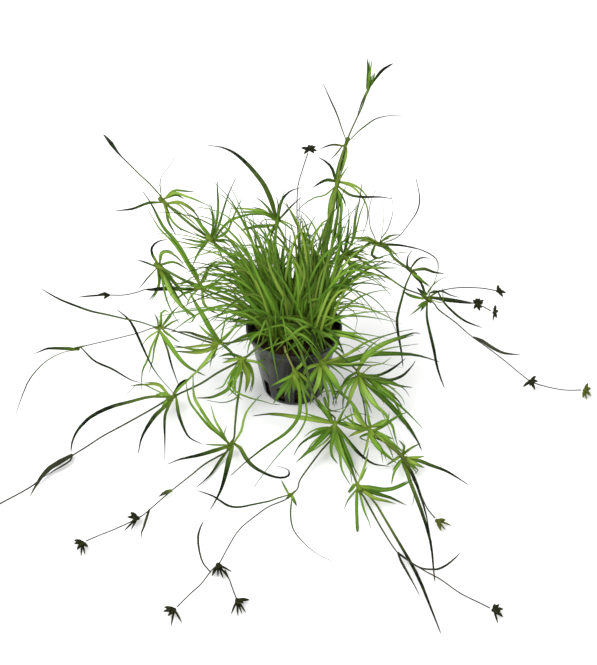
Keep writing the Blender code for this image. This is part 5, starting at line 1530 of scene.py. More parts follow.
class Growth:
    """The tree that sweeps every strand of a piece into a folded blade or a round stalk."""

    fold: ClassVar[float] = 0.34
    thickness: ClassVar[float] = 0.22
    blade_points: ClassVar[int] = 8
    stalk_points: ClassVar[int] = 10

    def __init__(self) -> None:
        """Build the tree once."""
        self.graph = Graph.of_shapes("growth", {
            "Strands": "Geometry", "Fold": "Float", "Thickness": "Float", "Blade Points": "Int",
            "Stalk Points": "Int", "Finish": "Material",
        }, "Grown")
        given = self.graph.node("NodeGroupInput").outputs
        split = self.graph.node("GeometryNodeSeparateGeometry", {"domain": "POINT"},
                                Geometry=given["Strands"], Selection=self.named("round", "BOOLEAN")).outputs
        outlines = (self.profile(given["Stalk Points"], None),
                    self.profile(given["Blade Points"], (given["Fold"], given["Thickness"])))
        parts = [self.swept(strands, outline) for strands, outline in zip(split, outlines)]
        self.graph.finish(parts, given["Finish"], "Grown")

    def named(self, name: str, kind: str) -> Socket:
        """An attribute that the strands carry."""
        return self.graph.out("GeometryNodeInputNamedAttribute", {"data_type": kind}, Name=name)

    def profile(self, points: Socket, shape: tuple[Socket, Socket] | None) -> Socket:
        """Draw the outline that is swept along a strand.

        Args:
            points: How many points the outline has.
            shape: How far a blade is folded and how thick it is, or None for a round stalk.

        Returns:
            The outline, with how far across the blade each of its points lies.
        """
        graph = self.graph
        circle = graph.out("GeometryNodeCurvePrimitiveCircle", Resolution=points, Radius=1.0)
        place = graph.node("ShaderNodeSeparateXYZ", i0=graph.out("GeometryNodeInputPosition")).outputs
        outline = graph.out("GeometryNodeStoreNamedAttribute", {"data_type": "FLOAT", "domain": "POINT"},
                            Geometry=circle, Name="across", Value=place["Y"])
        if shape is None:
            return outline
        fold, thickness = shape
        lifted = graph.sloped(place["X"], thickness, graph.times(graph.math("ABSOLUTE", place["Y"]), fold))
        moved = graph.out("ShaderNodeCombineXYZ", X=lifted, Y=place["Y"])
        return graph.out("GeometryNodeSetPosition", Geometry=outline, Position=moved)

    def swept(self, strands: Socket, outline: Socket) -> Socket:
        """Sweep an outline along strands, as wide and turned as each strand says.

        Args:
            strands: The strands.
            outline: The outline.

        Returns:
            The smooth skin.
        """
        curve = self.graph.out("GeometryNodeMeshToCurve", Mesh=strands)
        faced = self.graph.out("GeometryNodeSetCurveNormal", {"mode": "FREE"}, Curve=curve,
                               Normal=self.named("facing", "FLOAT_VECTOR"))
        skin = self.graph.out("GeometryNodeCurveToMesh", Curve=faced, Profile_Curve=outline,
                              Scale=self.named("half_width", "FLOAT"), Fill_Caps=True)
        return self.graph.out("GeometryNodeSetShadeSmooth", Geometry=skin)

    def grow(self, name: str, strands: list[Strand], finish: Finish) -> Body:
        """Grow a piece from its strands.

        Args:
            name: The piece's name.
            strands: Its blades and stalks.
            finish: What it is finished with.

        Returns:
            The piece as a plain mesh.
        """
        mesh = bpy.data.meshes.new(name)
        counts = [len(s.points) for s in strands]
        starts = np.cumsum([0] + counts)
        edges = [(i, i + 1) for a, b in zip(starts, starts[1:]) for i in range(a, b - 1)]
        mesh.from_pydata((np.vstack([s.points for s in strands]) * MM).tolist(), edges, [])
        values = {
            "half_width": np.concatenate([s.half for s in strands]) * MM,
            "along": np.concatenate([s.along for s in strands]),
            "dark": np.concatenate([s.dark for s in strands]),
            "dry": np.repeat([s.dry for s in strands], counts),
            "tone": np.repeat([s.tone for s in strands], counts),
        }
        for key, held in values.items():
            mesh.attributes.new(key, "FLOAT", "POINT").data.foreach_set("value", held.astype(np.float32))
        facing = np.vstack([s.facing for s in strands]).astype(np.float32)
        mesh.attributes.new("facing", "FLOAT_VECTOR", "POINT").data.foreach_set("vector", facing.ravel())
        rounds = np.repeat([s.round for s in strands], counts)
        mesh.attributes.new("round", "BOOLEAN", "POINT").data.foreach_set("value", rounds)
        made = linked(name, mesh)
        run_tree(made, self.graph.tree, {
            "Fold": self.fold, "Thickness": self.thickness, "Blade Points": self.blade_points,
            "Stalk Points": self.stalk_points, "Finish": finish.material(),
        })
        return made


@dataclass
class Piece:
    """A piece of the plant: the solid that it stands for and its strands."""

    slot: ClassVar[str] = "leaf"
    suffix: ClassVar[str] = "blades"
    finish: ClassVar[Finish] = LEAF

    node: str
    strands: list[Strand] = field(default_factory=list)
    finer_widths: tuple[float, float] = (1.2, 2.0)

    def build(self, growth: Growth) -> None:
        """Grow the piece and mount it."""
        mount(growth.grow(f"{self.node}_{self.suffix}", self.strands, self.finish), self.node)

    def add_stalk(self, line: Line, radii: Sequence[float], **colours: object) -> None:
        """Add a round stalk along a line, as Strand.stalk takes it."""
        self.strands.append(Strand.stalk(line, radii, **colours))


@dataclass
class Runner(Piece):
    """A runner stem that thins to a dark stalk, with the leaves that are one piece with it."""

    slot: ClassVar[str] = "stem"
    suffix: ClassVar[str] = "culm"
    finish: ClassVar[Finish] = STEM
    thick: ClassVar[float] = 0.85
    thin: ClassVar[float] = 0.5
    shown_thick: ClassVar[float] = 0.80
    shown_thin: ClassVar[float] = 0.32
    stout_thin: ClassVar[float] = 0.42
    slim_from: ClassVar[float] = 0.6
    slimming: ClassVar[float] = 5.0
    slim_loss: ClassVar[float] = 0.7
    fading: ClassVar[float] = 0.9
    pale_tone: ClassVar[float] = 0.9
    usual_tone: ClassVar[float] = 0.25

    @classmethod
    def shown(cls, stem: Stem) -> tuple[np.ndarray, np.ndarray]:
        """Thin a stem to the real one's radius at each of its points.

        Args:
            stem: The stem.

        Returns:
            The radii, and how near each is to the thick part's, from 0 to 1.
        """
        widths = np.array(stem.widths(len(stem.fine)))
        share = np.clip((widths - cls.thin) / (cls.thick - cls.thin), 0.0, 1.0)
        if stem.slim:
            past = (shares(np.array(stem.fine)) - cls.slim_from) * cls.slimming
            share = 1.0 - cls.slim_loss * np.clip(past, 0.0, 1.0)
        least = cls.stout_thin if stem.stout else cls.shown_thin
        return least + (cls.shown_thick - least) * share, share

    def add_stem(self, stem: Stem) -> None:
        """Add the stem itself, as thin as the real one is.

        Args:
            stem: The stem.
        """
        radii, share = (np.concatenate([values[:1], values]) for values in self.shown(stem))
        self.add_stalk([stem.foot(), *stem.fine], radii, dark=1.0 - self.fading * share,
                       tone=self.pale_tone if stem.pale else self.usual_tone)


@dataclass
class Whorl(Piece):
    """The blades at a joint of a stem, round the pale sheath that they grow from."""

    sheath_back: float = 3.0
    sheath_front: float = 4.0
    hold: float = 1.55
    flare: float = 0.07
    fullest: int = 12
    shading: float = 0.8
    step_back: float = 1.5
    inset: float = 0.35
    finer: int = 0
    starts: list[np.ndarray] = field(default_factory=list)

    def add_sheath(self, place: np.ndarray, ahead: np.ndarray, leaves: list[Leaf], neck: float) -> None:
        """Add the sheath, which widens from its neck to its mouth and is as dark as its leaves.

        Args:
            place: The joint's place.
            ahead: The stem's direction there.
            leaves: The whorl's leaves.
            neck: The radius of the sheath's neck.
        """
        steps = ((-1.0, 0.0), (-0.5, 0.4), (0.1, 0.75), (0.6, 1.0), (1.0, 0.8))
        line = [place + ahead * (self.sheath_front if s > 0 else self.sheath_back) * s for s, _ in steps]
        flare = self.flare * min(len(leaves), self.fullest)
        tones = [leaf.tone.value for leaf in leaves]
        shade = self.shading * sum(max(dark, 0.0) + darker * 0.5 for dark, darker, _ in tones) / len(tones)
        self.add_stalk(line, [neck + flare * w for _, w in steps], along=np.linspace(0.0, 0.08, len(steps)),
                       tone=0.3, dark=min(shade, self.shading))


@dataclass
class Shoot(Whorl):
    """A short stem that hangs over the pot's lip, with its blades."""

    slimness: ClassVar[float] = 0.52
    neck: ClassVar[float] = 0.85

    def add_stem(self, stem: Stem, dry: float) -> None:
        """Add the shoot's own stem.

        Args:
            stem: The stem.
            dry: How dry it is, from 0 to 1.
        """
        line = [stem.foot(), *stem.fine]
        self.add_stalk(line, [r * self.slimness for r in stem.widths(len(line))],
                       along=np.linspace(0.1, 0.3, len(line)), dark=0.3, dry=dry)


@dataclass
class Crown(Piece):
    """A tuft of blades that stands in the pot."""

    suffix: ClassVar[str] = "tuft"

    pad_radius: float = 3.4
    pad_height: float = 3.2
    pad_raised: float = 0.6
    leaf_inset: float = 0.5
    finer_off: tuple[float, float] = (0.5, 2.4)
    bend_at: float = 0.3
    bend_rise: float = 1.3
    bend_aside: tuple[float, float] = (-0.1, 0.5)
    tip_rise: tuple[float, float] = (0.15, 1.2)
    finer: int = 4
    wild: int = 40
    spread: float = 9.0
    soil_reach: float = 20.5
    reaches: tuple[float, float] = (12.0, 60.0)
    rises: tuple[float, float] = (14.0, 64.0)
    sway: float = 44.0
    short_front: float = 0.5
    low_front: float = 0.72
    finer_widths: tuple[float, float] = (1.2, 2.1)
    ways: tuple[tuple[float, float], ...] = ((0.0, 360.0),)

    def add_base(self, centre: np.ndarray) -> None:
        """Add the low knot of sheaths that the blades grow from.

        Args:
            centre: Its middle.
        """
        steps = ((-0.7, 0.855), (-0.4, 0.76), (-0.1, 0.57), (0.3, 0.285))
        self.add_stalk([centre + np.array([0.0, 0.0, self.pad_height * s]) for s, _ in steps],
                       [self.pad_radius * r for _, r in steps],
                       along=np.zeros(len(steps)), dark=0.75, tone=0.7)


@dataclass
class FlowerHead(Piece):
    """A star of dark spikelets at a stalk's end or part of the way along it."""

    slot: ClassVar[str] = "flower"
    suffix: ClassVar[str] = "spikelets"
    finish: ClassVar[Finish] = FLOWER

    bow: ClassVar[float] = 0.35

    fat: float = 0.95
    core: float = 1.15
    olive: bool = False

    def add_spikelet(self, centre: np.ndarray, tip: np.ndarray, fat: float) -> None:
        """Add a pointed spindle from the head's middle to a tip.

        Args:
            centre: The head's middle.
            tip: The tip.
            fat: The spindle's greatest radius.
        """
        widths = ((0.0, 0.5), (0.15, 0.8), (0.42, 1.0), (0.66, 0.85), (0.86, 0.5), (1.0, 0.08))
        bow = np.array([0.0, 0.0, self.bow])
        line = [centre + (tip - centre) * s + bow * math.sin(math.pi * s) for s, _ in widths]
        self.add_stalk(line, [fat * w for _, w in widths], tone=float(self.olive))

    def add_core(self, centre: np.ndarray) -> None:
        """Add the knob in the head's middle.

        Args:
            centre: Its middle.
        """
        knob = np.array([0.0, 0.0, self.core])
        self.add_stalk([centre - knob, centre - knob * 0.4, centre + knob * 0.5, centre + knob],
                       [0.3, self.core, self.core * 0.8, 0.2], tone=float(self.olive))


class Plant:
    """The whole plant, laid out stem by stem and leaf by leaf."""

    seed: ClassVar[int] = 41
    shoot_radii: ClassVar[tuple[float, float]] = (1.1, 1.0)
    neck_over: ClassVar[float] = 0.12
    tip_share: ClassVar[float] = 0.2
    leaf_bend: ClassVar[float] = 1.4
    leaf_clear: ClassVar[float] = 4.5
    least_turn: ClassVar[float] = math.radians(42)
    stem_near: ClassVar[float] = 6.5
    stem_hold: ClassVar[float] = 1.35
    own_near: ClassVar[float] = 5.0
    blade_least: ClassVar[float] = 0.4
    blade_margin: ClassVar[float] = 0.1
    spikelet_solid: ClassVar[float] = 1.1
    leaf_piece: ClassVar[float] = 2.5
    spread_rounds: ClassVar[int] = 40
    long_spikelet: ClassVar[float] = 8.0
    longest_between: ClassVar[float] = 5.5
    above_ground: ClassVar[float] = 0.6
    long_loss: ClassVar[float] = 0.6
    between_rises: ClassVar[tuple[float, float]] = (0.6, 1.8)
    between_share: ClassVar[float] = 0.9
    low_bract: ClassVar[float] = 9.0
    bract_heights: ClassVar[tuple[float, float]] = (2.0, 28.0)
    anywhere: ClassVar[float] = 999.0
    crown_level: ClassVar[float] = 50.0
    wild_points: ClassVar[int] = 15
    wild_sunk: ClassVar[float] = 0.4
    finer_reach: ClassVar[tuple[float, float]] = (0.5, 0.98)
    finer_turn: ClassVar[float] = 0.30
    finer_low: ClassVar[float] = 1.5
    dry_shoots: ClassVar[dict[str, float]] = {"shoot_front": 0.45}
    kept_shades: ClassVar[tuple[Tone, ...]] = (Tone.DARK, Tone.DEEP)
    finer_shades: ClassVar[tuple[Tone, ...]] = (Tone.FRESH, Tone.FRESH, Tone.DUSKY)
    wild_shades: ClassVar[tuple[Tone, ...]] = (Tone.FRESH, Tone.FRESH, Tone.FRESH, Tone.DUSKY)

    def __init__(self, pot: "NetPot", soil_top: float) -> None:
        """Read the layout and lay the stems.

        Args:
            pot: The pot that the leaves keep clear of.
            soil_top: The height of the soil's surface.
        """
        self.pot = pot
        self.soil_top = soil_top
        self.room = Room()
        self.chance = random.Random(self.seed)
        self.joints = {name: numbers(at)[0] for name, at in (r[0].split() for r in rows(JOINTS))}
        self.roots = {name: numbers(at)[0] for name, at in (r[0].split() for r in rows(ROOTS))}
        self.stems = {name: Stem.read(route, sizes) for name, route, sizes in rows(STEMS)}
        for name, points, sizes in rows(BRACTS):
            self.stems[name].bracts.append(Leaf.read(f"{points} : {sizes}"))
        self.heads = {}
        for name, at, tips, stem in rows(HEADS):
            stem, *words = stem.split()
            self.heads[name] = Head(numbers(at)[0], numbers(tips), stem, "along" in words, "olive" in words)
        self.stalked = {}
        for name, route, sizes, at, tips in rows(STALKED):
            self.stalked[name] = (Stem.read(route, sizes), Head(numbers(at)[0], numbers(tips), name))
        self.whorls = {name: (stem, joint, self.leaves(text)) for name, (stem, joint, text) in WHORLS.items()}
        self.shoots = {name: (Stem(route.split(), *self.shoot_radii), self.leaves(text))
                       for name, (route, text) in SHOOTS.items()}
        self.crown = {name: (middle, self.leaves(text)) for name, (middle, text) in CROWN.items()}
        self.lay_stems()

    @staticmethod
    def leaves(text: str) -> list[Leaf]:
        """The leaves of one piece's text."""
        return [Leaf.read(" : ".join(row)) for row in rows(text)]

    def lay_stems(self) -> None:
        """Lay every stem and take up the room of stems and heads."""
        own = {name: stem for name, (stem, _) in {**self.stalked, **self.shoots}.items()}
        self.lines = {**self.stems, **own}
        for name, stem in self.lines.items():
            stem.lay(self.roots, self.joints, self.soil_top)
        for name, stem in self.lines.items():
            first, last = stem.radii[0], stem.radii[-1]
            self.room.add(name, *sampled(stem.line, lambda share: first + (last - first) * share))
        for name, head in (*self.heads.items(), *((name, head) for name, (_, head) in self.stalked.items())):
            centre = VIEW.place(*head.at)
            tips = np.array([VIEW.place(x, y, head.at[2]) for x, y in head.tips])
            spots = np.vstack([centre[None], (centre + tips) / 2, tips])
            self.room.add(name, spots, np.array([head.radius] + [self.spikelet_solid] * (2 * len(tips))))

    def leaf_line(
        self, start: np.ndarray, leaf: Leaf, lift: float = 0.0, tilt: float = 0.0, aside: float = 0.0
    ) -> Line:
        """Draw a leaf's line from its start.

        Args:
            start: Where the leaf starts.
            leaf: The leaf.
            lift: How much its middle is lifted.
            tilt: How much its tip is raised.
            aside: How far it is moved aside in the picture.

        Returns:
            The line's points.
        """
        run = [0.0]
        for a, b in zip(leaf.line, leaf.line[1:]):
            run.append(run[-1] + math.dist(a, b))
        (x0, y0), (x1, y1) = leaf.line[0], leaf.line[-1]
        length = max(math.dist((x0, y0), (x1, y1)), 1.0)
        across = ((y0 - y1) / length, (x1 - x0) / length)
        points = [start]
        lead = max(math.dist(VIEW.pixel(start), (x0, y0)), 2.0)
        lowest = LOWEST + Leaf.thickness
        for (x, y), part in zip(leaf.line, run):
            share = (part + lead) / (run[-1] + lead)
            rise = (leaf.arch + lift) * 4 * share * (1 - share) + tilt * share
            height = start[2] + (leaf.tip - start[2]) * share + rise
            shift = aside * min(1.0, 2 * share)
            points.append(VIEW.place(x + across[0] * shift, y + across[1] * shift, max(height, lowest)))
        far = [p for p in points[1:-1] if np.linalg.norm(p - start) > self.leaf_clear]
        fine = smooth_line([start, *far, points[-1]], self.leaf_piece)
        for point in fine[1:]:
            point[2] = max(point[2], lowest)
        return fine

    def fit_leaf(
        self, name: str, starts: list[np.ndarray], leaf: Leaf, exempt: Exempt, pot: bool = True
    ) -> Line:
        """Move a leaf as little as keeps it clear of everything else, and take up its room.

        Args:
            name: The piece that it belongs to.
            starts: Where it may start.
            leaf: The leaf.
            exempt: What it may come close to.
            pot: Whether it keeps clear of the pot.

        Returns:
            The leaf's line.
        """
        best, best_left = None, -Room.free

        def half_width(share: float) -> float:
            """The solid's half width and a margin, at a share of its length."""
            return max(0.5 * leaf.width * leaf.shape(share), self.blade_least) + self.blade_margin

        for step in range(Room.steps):
            if best_left >= Room.clear:
                break
            size = step * Room.step
            for start, way in [(start, way) for way in (WAYS if step else ((0, 0, 0),)) for start in starts]:
                fine = self.leaf_line(start, leaf, *(size * w for w in way))
                points, half = sampled(thinned(fine, self.leaf_bend), half_width)
                left = self.room.left(points, half, exempt)
                if pot:
                    left = min(left, self.pot.clearance(points, half, self.soil_top))
                if left > best_left:
                    best, best_left = (fine, points, half), left
                if left >= Room.clear:
                    break
        self.room.add(name, best[1], best[2])
        return best[0]

    def build(self) -> None:
        """Grow every piece, each kept clear of the others."""
        growth = Growth()
        pieces: list[Piece] = []
        for name, stem in self.stems.items():
            pieces.append(self.runner(name, stem))
        for name, head in self.heads.items():
            pieces.append(self.head(name, head))
        for name, (stem, head) in self.stalked.items():
            made = self.head(name, head)
            count = len(stem.fine)
            made.add_stalk(stem.fine, [Runner.shown_thin] * count, along=np.full(count, 0.3), tone=0.0)
            pieces.append(made)
        for name, (stem_name, joint, leaves) in self.whorls.items():
            stem = self.lines[stem_name]
            place, ahead = stem.joints[joint]
            grown = [n for n, s in self.branches() if s.branch_of == joint]
            whorl = Whorl(name, finer=FINER[name])
            near = np.linalg.norm(np.array(stem.fine) - place, axis=1).argmin()
            whorl.add_sheath(place, ahead, leaves, Runner.shown(stem)[0][near] + self.neck_over)
            self.add_blades(whorl, leaves, place, ahead, {stem_name, *grown})
            self.add_extra(whorl, leaves)
            pieces.append(whorl)
        for name, (stem, leaves) in self.shoots.items():
            (place, ahead), = stem.joints.values()
            shoot = Shoot(name, finer=FINER[name])
            shoot.add_stem(stem, self.dry_shoots.get(name, 0.0))
            shoot.add_sheath(place, ahead, leaves, shoot.neck)
            self.add_blades(shoot, leaves, place, ahead, {name})
            self.add_extra(shoot, leaves)
            pieces.append(shoot)
        for name, (middle, leaves) in self.crown.items():
            pieces.append(self.tuft(name, middle, leaves))
        for piece in pieces:
            piece.build(growth)

    def branches(self) -> list[tuple[str, Stem]]:
        """Every stem that can branch from another, with its name."""
        return [*self.stems.items(), *((name, stem) for name, (stem, _) in self.stalked.items())]

    def runner(self, name: str, stem: Stem) -> Runner:
        """Make a runner stem with its own leaves.

        Args:
            name: Its node.
            stem: The stem.

        Returns:
            The piece.
        """
        made = Runner(name)
        made.add_stem(stem)
        for leaf in stem.bracts:
            height = self.bract_heights[leaf.tip >= self.low_bract]
            start = closest(stem.line, VIEW.place(*leaf.line[0], height))
            rest = replace(leaf, line=leaf.line[1:])
            line = self.fit_leaf(name, [start], rest, ((start, self.anywhere, (name,), None),), pot=False)
            made.strands.append(Strand.blade(line, rest, self.chance))
        return made

    def head(self, name: str, head: Head) -> FlowerHead:
        """Make a flower head, with smaller spikelets between those that the layout names.

        Args:
            name: Its node.
            head: The head.

        Returns:
            The piece.
        """
        stem = self.lines[head.stem]
        if name in self.stalked:
            centre = stem.line[-1]
        elif head.along:
            centre = closest(stem.line, VIEW.place(*head.at))
        else:
            centre = stem.line[-1] + unit(stem.line[-1] - stem.line[-2]) * (GAP + head.radius)
        made = FlowerHead(name, olive=head.olive)
        lowest = LOWEST + self.above_ground
        tips = [VIEW.place(x, y, max(head.at[2] + (1.0 if i % 2 else -0.5), lowest))
                for i, (x, y) in enumerate(head.tips)]
        for tip in tips:
            long = np.linalg.norm(tip - centre) > self.long_spikelet
            made.add_spikelet(centre, tip, made.fat * (self.long_loss if long else 1.0))
        for a, b in zip(tips, tips[1:]):
            reach = min(np.linalg.norm(a - centre), np.linalg.norm(b - centre), self.longest_between)
            for rise in self.between_rises:
                between = centre + unit((a + b) / 2 - centre) * reach * self.chance.uniform(0.5, 0.85)
                between[2] = max(between[2] + rise, lowest)
                made.add_spikelet(centre, between, made.fat * self.between_share)
        made.add_core(centre)
        return made

    def add_blades(
        self, piece: Whorl, leaves: list[Leaf], place: np.ndarray, ahead: np.ndarray, stems: set[str]
    ) -> None:
        """Add a whorl's blades, from the sheath's wall outwards, their bases spread round the stem.

        Args:
            piece: The whorl.
            leaves: Its leaves.
            place: Where its joint is.
            ahead: The stem's direction there.
            stems: The stems that pass through it.
        """
        level = unit(np.cross(ahead, [0.0, 0.3, 1.0]))
        over = np.cross(ahead, level)
        turns, along = [], []
        for leaf in leaves:
            height = place[2] + self.tip_share * (leaf.tip - place[2])
            toward = VIEW.place(*leaf.line[0], height) - place
            across = across_from(ahead, toward)
            turns.append(math.atan2(np.dot(across, over), np.dot(across, level)))
            along.append(math.copysign(piece.step_back, np.dot(toward, ahead)))
        main = [i for i, leaf in enumerate(leaves) if not leaf.fine]
        spread = dict(zip(main, self.spread([turns[i] for i in main])))
        for i, leaf in enumerate(leaves):
            starts = [place + (level * math.cos(t) + over * math.sin(t)) * piece.hold + ahead * along[i]
                      for t in (spread.get(i, turns[i]), turns[i])]
            if leaf.fine:
                line = self.leaf_line(starts[0], leaf)
            else:
                exempt = ((place, self.stem_near, tuple(stems), self.stem_hold),
                          (place, self.own_near, (piece.node,), None))
                line = self.fit_leaf(piece.node, starts, leaf, exempt)
            inner = place + (starts[0] - place) * piece.inset
            piece.strands.append(Strand.blade([inner, *line], leaf, self.chance))
            piece.starts.append(starts[0])

    def add_extra(self, piece: Whorl, leaves: list[Leaf]) -> None:
        """Add the whorl's finer blades, each beside one of its leaves.

        Args:
            piece: The whorl.
            leaves: Its leaves.
        """
        light = [i for i, leaf in enumerate(leaves) if leaf.tone not in self.kept_shades]
        for _ in range(piece.finer):
            i = self.chance.choice(light or range(len(leaves)))
            off = np.array([self.chance.uniform(-0.5, 0.5) for _ in range(3)])
            self.add_finer(piece, piece.starts[i] + off, leaves[i])

    def spread(self, turns: list[float]) -> list[float]:
        """Push turns apart until neighbours are some way from each other.

        Args:
            turns: The turns, in radians.

        Returns:
            The turns in the same order.
        """
        turns = list(turns)
        order = sorted(range(len(turns)), key=lambda i: turns[i])
        least = min(self.least_turn, 2 * math.pi / len(turns))
        for _ in range(self.spread_rounds):
            for a, b in zip(order, order[1:] + order[:1]):
                gap = (turns[b] - turns[a]) % (2 * math.pi) if len(order) > 1 else 9.0
                if a == order[-1] and gap > math.pi:
                    continue
                if gap < least:
                    turns[a] -= (least - gap) / 2
                    turns[b] += (least - gap) / 2
        return turns

    def tuft(self, name: str, middle: tuple[float, float], leaves: list[Leaf]) -> Crown:
        """Make a group of leaves that stands in the pot, with finer blades between them.

        Args:
            name: Its node.
            middle: Where it stands.
            leaves: Its leaves.

        Returns:
            The piece.
        """
        made = Crown(name, ways=CROWN_WAYS[name])
        x, y = middle
        centre = np.array([x, y, self.soil_top + GAP + made.pad_height * made.pad_raised])
        made.add_base(centre)
        for leaf in leaves:
            toward = unit((VIEW.place(*leaf.line[1], self.crown_level) - centre) * [1, 1, 0])
            start = centre + toward * made.pad_radius * made.leaf_inset
            line = self.fit_leaf(name, [start], leaf, ((centre, self.own_near, (name,), None),))
            made.strands.append(Strand.blade(line, leaf, self.chance))
        for leaf in (leaf for leaf in leaves if leaf.tone is Tone.FRESH):
            for _ in range(made.finer):
                turn = self.chance.uniform(0, 2 * math.pi)
                off = np.array([math.cos(turn), math.sin(turn), 0.0]) * self.chance.uniform(*made.finer_off)
                self.add_finer(made, centre + off, leaf)
        for way in made.ways:
            for _ in range(made.wild):
                self.add_wild(made, centre, way)
        return made

    def add_finer(self, piece: Piece, start: np.ndarray, leaf: Leaf) -> None:
        """Add a finer blade beside one of a piece's leaves, where it keeps clear of the pot.

        Args:
            piece: The piece.
            start: Where the blade starts.
            leaf: The leaf beside which it grows.
        """
        chance = self.chance
        reach = chance.uniform(*self.finer_reach)
        turn = chance.uniform(-self.finer_turn, self.finer_turn)
        (x0, y0), count = leaf.line[0], max(2, round(len(leaf.line) * reach))
        line = [(x0 + (x - x0) * math.cos(turn) - (y - y0) * math.sin(turn),
                 y0 + (x - x0) * math.sin(turn) + (y - y0) * math.cos(turn)) for x, y in leaf.line[:count]]
        height = start[2] + (leaf.tip - start[2]) * count / len(leaf.line) + chance.uniform(-3, 3)
        tone = leaf.tone if leaf.tone in self.kept_shades else chance.choice(self.finer_shades)
        width = chance.uniform(*piece.finer_widths)
        finer = Leaf(line, max(height, self.finer_low), leaf.arch * reach, width, tone=tone, fine=True)
        self.add_free(piece, self.leaf_line(start, finer), finer)

    def add_wild(self, piece: Crown, centre: np.ndarray, way: tuple[float, float]) -> None:
        """Add a fine blade that rises from the crown and bows outwards, clear of the pot.

        Args:
            piece: The tuft.
            centre: Its middle.
            way: The least and greatest direction, in degrees.
        """
        chance = self.chance
        turn = math.radians(chance.uniform(*way))
        out = np.array([math.cos(turn), math.sin(turn), 0.0])
        aside = np.array([-out[1], out[0], 0.0]) * chance.uniform(-piece.sway, piece.sway)
        front = max(0.0, -out[1])
        reach = chance.uniform(*piece.reaches) * (1.0 - piece.short_front * front)
        rise = chance.uniform(*piece.rises) * (1.0 - piece.low_front * front)
        turn = chance.uniform(0, 2 * math.pi)
        start = centre + np.array([math.cos(turn), math.sin(turn), 0.0]) * chance.uniform(0.0, piece.spread)
        start *= min(1.0, piece.soil_reach / math.hypot(start[0], start[1]))
        start[2] = self.soil_top - self.wild_sunk
        up = np.array([0.0, 0.0, rise])
        off = aside * chance.uniform(*piece.bend_aside)
        bend = start + out * reach * piece.bend_at + off + up * piece.bend_rise
        tip = start + out * reach + aside + up * chance.uniform(*piece.tip_rise)
        steps = np.linspace(0.0, 1.0, self.wild_points)
        line = [start * (1 - t) ** 2 + bend * 2 * t * (1 - t) + tip * t * t for t in steps]
        tone = chance.choice(self.wild_shades)
        width = chance.uniform(*piece.finer_widths)
        self.add_free(piece, line, Leaf([], 0.0, 0.0, width, tone=tone, fine=True))

    def add_free(self, piece: Piece, line: Line, leaf: Leaf) -> None:
        """Add a blade where it keeps clear of the pot.

        Args:
            piece: The piece.
            line: The blade's line.
            leaf: Its width and looks.
        """
        points, half = sampled(line, lambda share: 0.5 * leaf.width)
        rooted = 3 if points[0][2] < self.soil_top and math.hypot(*points[0][:2]) < self.pot.top_radius else 0
        if self.pot.clearance(points[rooted:], half[rooted:], self.soil_top) > 0.1:
            piece.strands.append(Strand.blade(line, leaf, self.chance))


